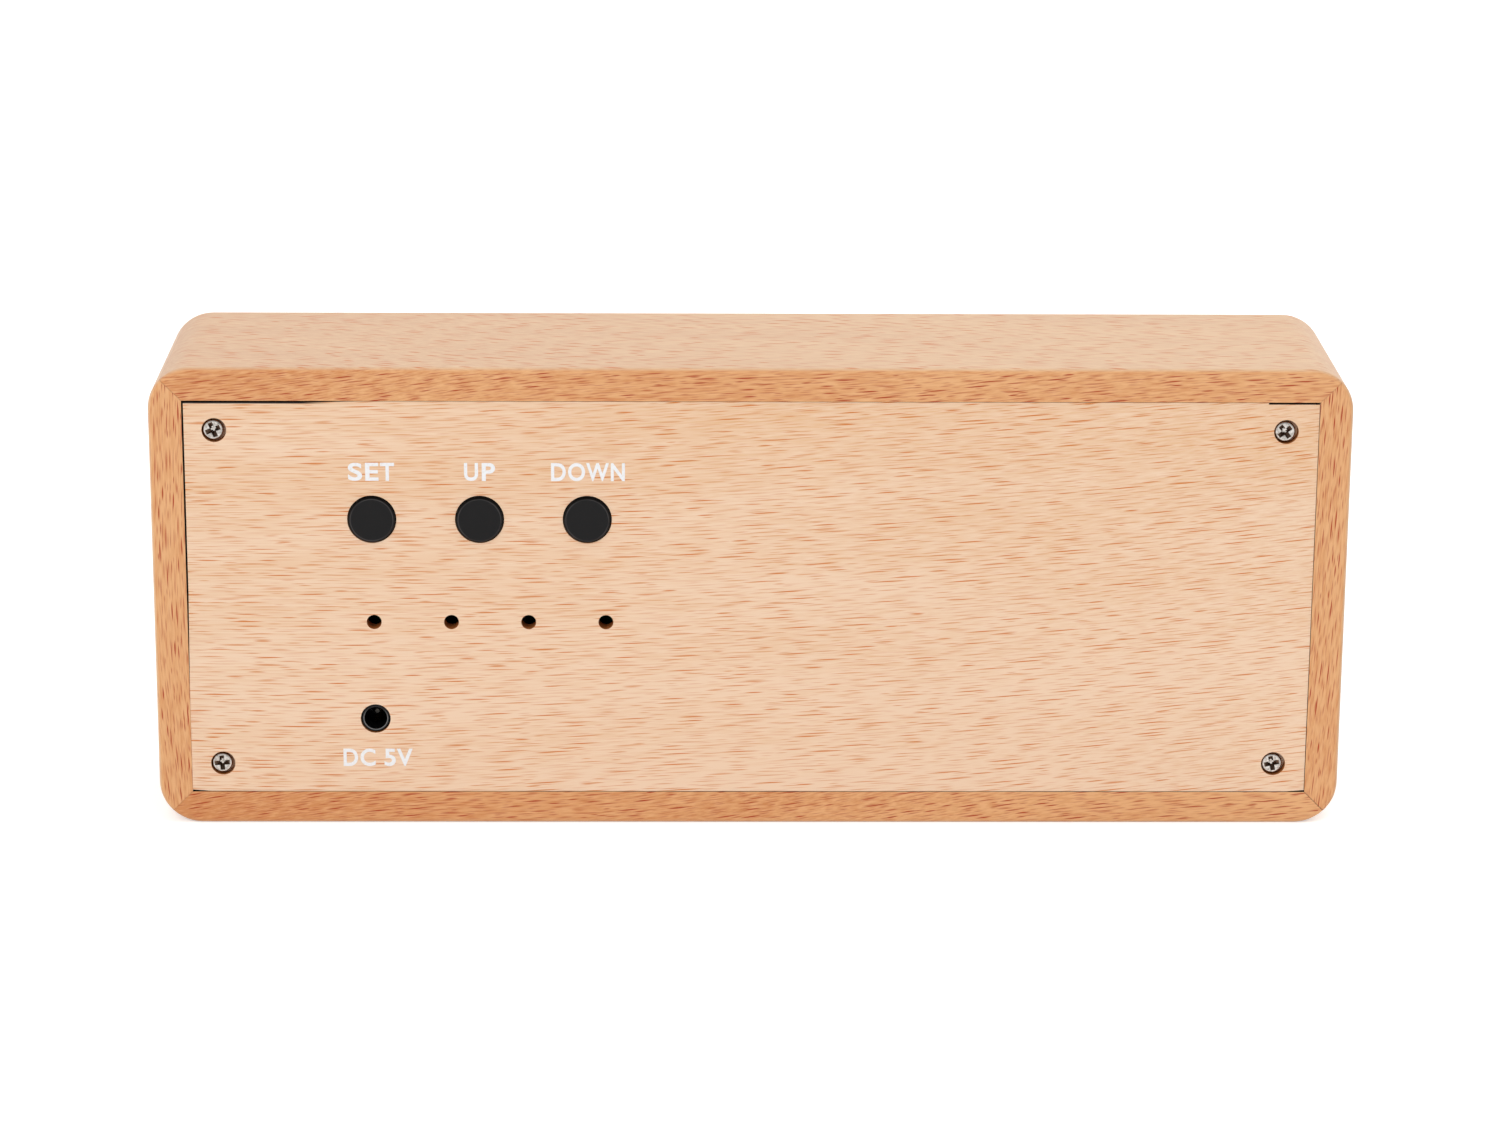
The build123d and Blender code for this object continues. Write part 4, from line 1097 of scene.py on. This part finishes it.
def write_glow(face, settings):
    """Writes on each vertex of the face how much light comes through there."""
    count = len(face.data.vertices)
    points = np.empty(count * 3)
    face.data.vertices.foreach_get("co", points)
    x, _, z = points.reshape(-1, 3).T
    middle = cad_high.z / 2
    half = settings.segment_width / 2
    outside = np.full(count, 1.0)
    for bar_x, bar_z, tip, upright in lit_bars(settings, middle):
        along = np.abs(z - bar_z if upright else x - bar_x)
        across = np.abs(x - bar_x if upright else z - bar_z)
        outside = np.minimum(outside, np.maximum(across - half, (along + across - tip) / math.sqrt(2)))
    for end in (-1, 1):
        dot_z = middle + end * settings.colon_spacing / 2
        outside = np.minimum(outside, np.maximum(np.abs(x), np.abs(z - dot_z)) - half)
    edge = np.clip(0.5 - outside / settings.blur, 0, 1)
    soft = edge * edge * (3 - 2 * edge)
    halo = settings.halo * np.exp(-np.maximum(outside, 0) / settings.halo_reach)
    glow = face.data.attributes.new("glow", "FLOAT", "POINT")
    glow.data.foreach_set("value", np.maximum(soft, halo).astype(np.float32))


class CLOCK_OT_socket(bpy.types.Operator):
    """Gives the power socket its finishes"""

    bl_idname = "clock.socket"
    bl_label = "Power socket"

    def execute(self, context):
        dress(socket_plastic(), "jack_housing")
        dress(mottled("turned_pin"), "jack_centre_pin")
        return {"FINISHED"}


class CLOCK_OT_works(bpy.types.Operator):
    """Gives the boards, chips, screws and cable inside their finishes"""

    bl_idname = "clock.works"
    bl_label = "Works"

    def execute(self, context):
        dress(solder_mask(), "display_board", "control_board")
        zinc_parts = ("display_board_screws", "control_board_screws", "coin_cell", "coin_cell_clip")
        finishes = {
            "chip_epoxy": ("controller_chip", "display_driver_chip"),
            "nylon_natural": ("control_board_spacers",),
            "connector_nylon": ("control_header", "control_plug", "display_header", "display_plug"),
            "phenolic_black": ("buzzer_case", "coin_cell_holder"),
            "ribbon_vinyl": ("ribbon_cable",),
            "zinc_steel": (*zinc_parts, "timing_crystal"),
            "tinned_copper": ("switch_legs", "header_pins"),
            "rolled_brass": ("jack_sleeve_contact", "buzzer_disc"),
            "drawn_aluminium": ("smoothing_capacitor",),
        }
        for name, nodes in finishes.items():
            dress(mottled(name), *nodes)
        return {"FINISHED"}


# Lamps: where each one stands, and the side of its square, in metres
LAMPS = {
    "key": ((0.7, 1.3, 1.2), 1.2),
    "fill": ((-0.8, -1.3, 1.0), 1.2),
    "top": ((-0.2, 0.1, 1.6), 1.0),
}


class CLOCK_OT_stage(bpy.types.Operator):
    """Sets the floor, the lamps, the sky and the camera"""

    bl_idname = "clock.stage"
    bl_label = "Stage"

    def execute(self, context):
        scene = context.scene
        settings = scene.clock.stage
        scene.view_settings.view_transform = "Standard"

        bpy.ops.mesh.primitive_plane_add(size=settings.floor_size, location=(0, 0, 0))
        floor = context.object
        floor.name = "floor"
        floor.data.materials.append(pale_floor(settings))

        for name, (place, side) in LAMPS.items():
            add_lamp(f"{name}_lamp", place, getattr(settings, name), side)
        light_sky(scene, settings)

        place = Vector(settings.camera_place)
        level = (Vector(settings.camera_aim) - place).to_track_quat("-Z", "Y").to_matrix()
        rolled = level @ Matrix.Rotation(settings.camera_roll, 3, "Z")
        bpy.ops.object.camera_add(location=place, rotation=rolled.to_euler())
        camera = context.object
        camera.data.lens = settings.lens
        camera.data.sensor_width = 36.0
        camera.data.clip_start = 0.01
        scene.camera = camera
        return {"FINISHED"}


def seen_directly(add):
    """1 for a ray from the camera or from a reflection, 0 for a ray that gathers light."""
    path = add("LightPath").outputs
    either = add("Math", {0: path["Is Camera Ray"], 1: path["Is Glossy Ray"]}, "MAXIMUM")
    return add("Math", {0: either, 1: path["Is Transmission Ray"]}, "MAXIMUM")


def pale_floor(settings):
    """Matt white paper: seen directly it is lifted to white, with a trace of the clock's shadow."""
    material, add, _ = new_material("studio_paper")
    paper = add("BsdfDiffuse", {"Color": settings.floor_colour})
    lift = add("Math", {0: seen_directly(add), 1: settings.floor_lift}, "MULTIPLY")
    glow = add("Emission", {"Strength": lift})
    add("OutputMaterial", {"Surface": add("AddShader", {0: paper, 1: glow})})
    return material


def add_lamp(name, place, power, size):
    """A large soft lamp that points at the clock; gloss shows the white studio and not the lamp."""
    aim = Vector((0, 0, cad_high.z / 2)) - Vector(place)
    bpy.ops.object.light_add(type="AREA", location=place, rotation=aim.to_track_quat("-Z", "Y").to_euler())
    lamp = bpy.context.object
    lamp.name = name
    lamp.data.energy = power
    lamp.data.size = size
    lamp.visible_glossy = False


def light_sky(scene, settings):
    """Even light from all round; seen directly or in a reflection it is white, under a darker ceiling."""
    scene.world = bpy.data.worlds.new("studio")
    add = empty_tree(scene.world)
    towards = add("TexCoord").outputs["Generated"]
    height = add("SeparateXYZ", {"Vector": towards}).outputs["Z"]
    dim = {"Value": height, "From Min": 0.35, "From Max": 0.8, "To Min": 1.0, "To Max": settings.ceiling}
    walls = add("MapRange", dim)
    seen = {"Value": seen_directly(add), "To Min": settings.sky, "To Max": walls}
    sky = add("Background", {"Strength": add("MapRange", seen)})
    add("OutputWorld", {"Surface": sky})


STEPS = (
    CLOCK_OT_case,
    CLOCK_OT_back_panel,
    CLOCK_OT_panel_screws,
    CLOCK_OT_labels,
    CLOCK_OT_buttons,
    CLOCK_OT_socket,
    CLOCK_OT_face,
    CLOCK_OT_works,
    CLOCK_OT_stage,
)


class CLOCK_PT_looks(bpy.types.Panel):
    """Lists the steps that dress the clock, in order"""

    bl_idname = "CLOCK_PT_looks"
    bl_label = "Wooden alarm clock"
    bl_space_type = "VIEW_3D"
    bl_region_type = "UI"
    bl_category = "Clock"

    def draw(self, context):
        for step in STEPS:
            self.layout.operator(step.bl_idname)


CLASSES = (
    BeechSettings,
    LabelSettings,
    ScrewSettings,
    FaceSettings,
    StageSettings,
    ClockSettings,
    *STEPS,
    CLOCK_PT_looks,
)


def register():
    """Makes the settings, the operators and the panel known to Blender."""
    for item in CLASSES:
        bpy.utils.register_class(item)
    bpy.types.Scene.clock = PointerProperty(type=ClockSettings)


def unregister():
    """Takes them away again."""
    del bpy.types.Scene.clock
    for item in reversed(CLASSES):
        bpy.utils.unregister_class(item)


def main():
    """Dresses the clock step by step."""
    register()
    bpy.ops.clock.case()
    bpy.ops.clock.back_panel()
    bpy.ops.clock.panel_screws()
    bpy.ops.clock.labels()
    bpy.ops.clock.buttons()
    bpy.ops.clock.socket()
    bpy.ops.clock.face()
    bpy.ops.clock.works()
    bpy.ops.clock.stage()


if __name__ == "__main__":
    main()
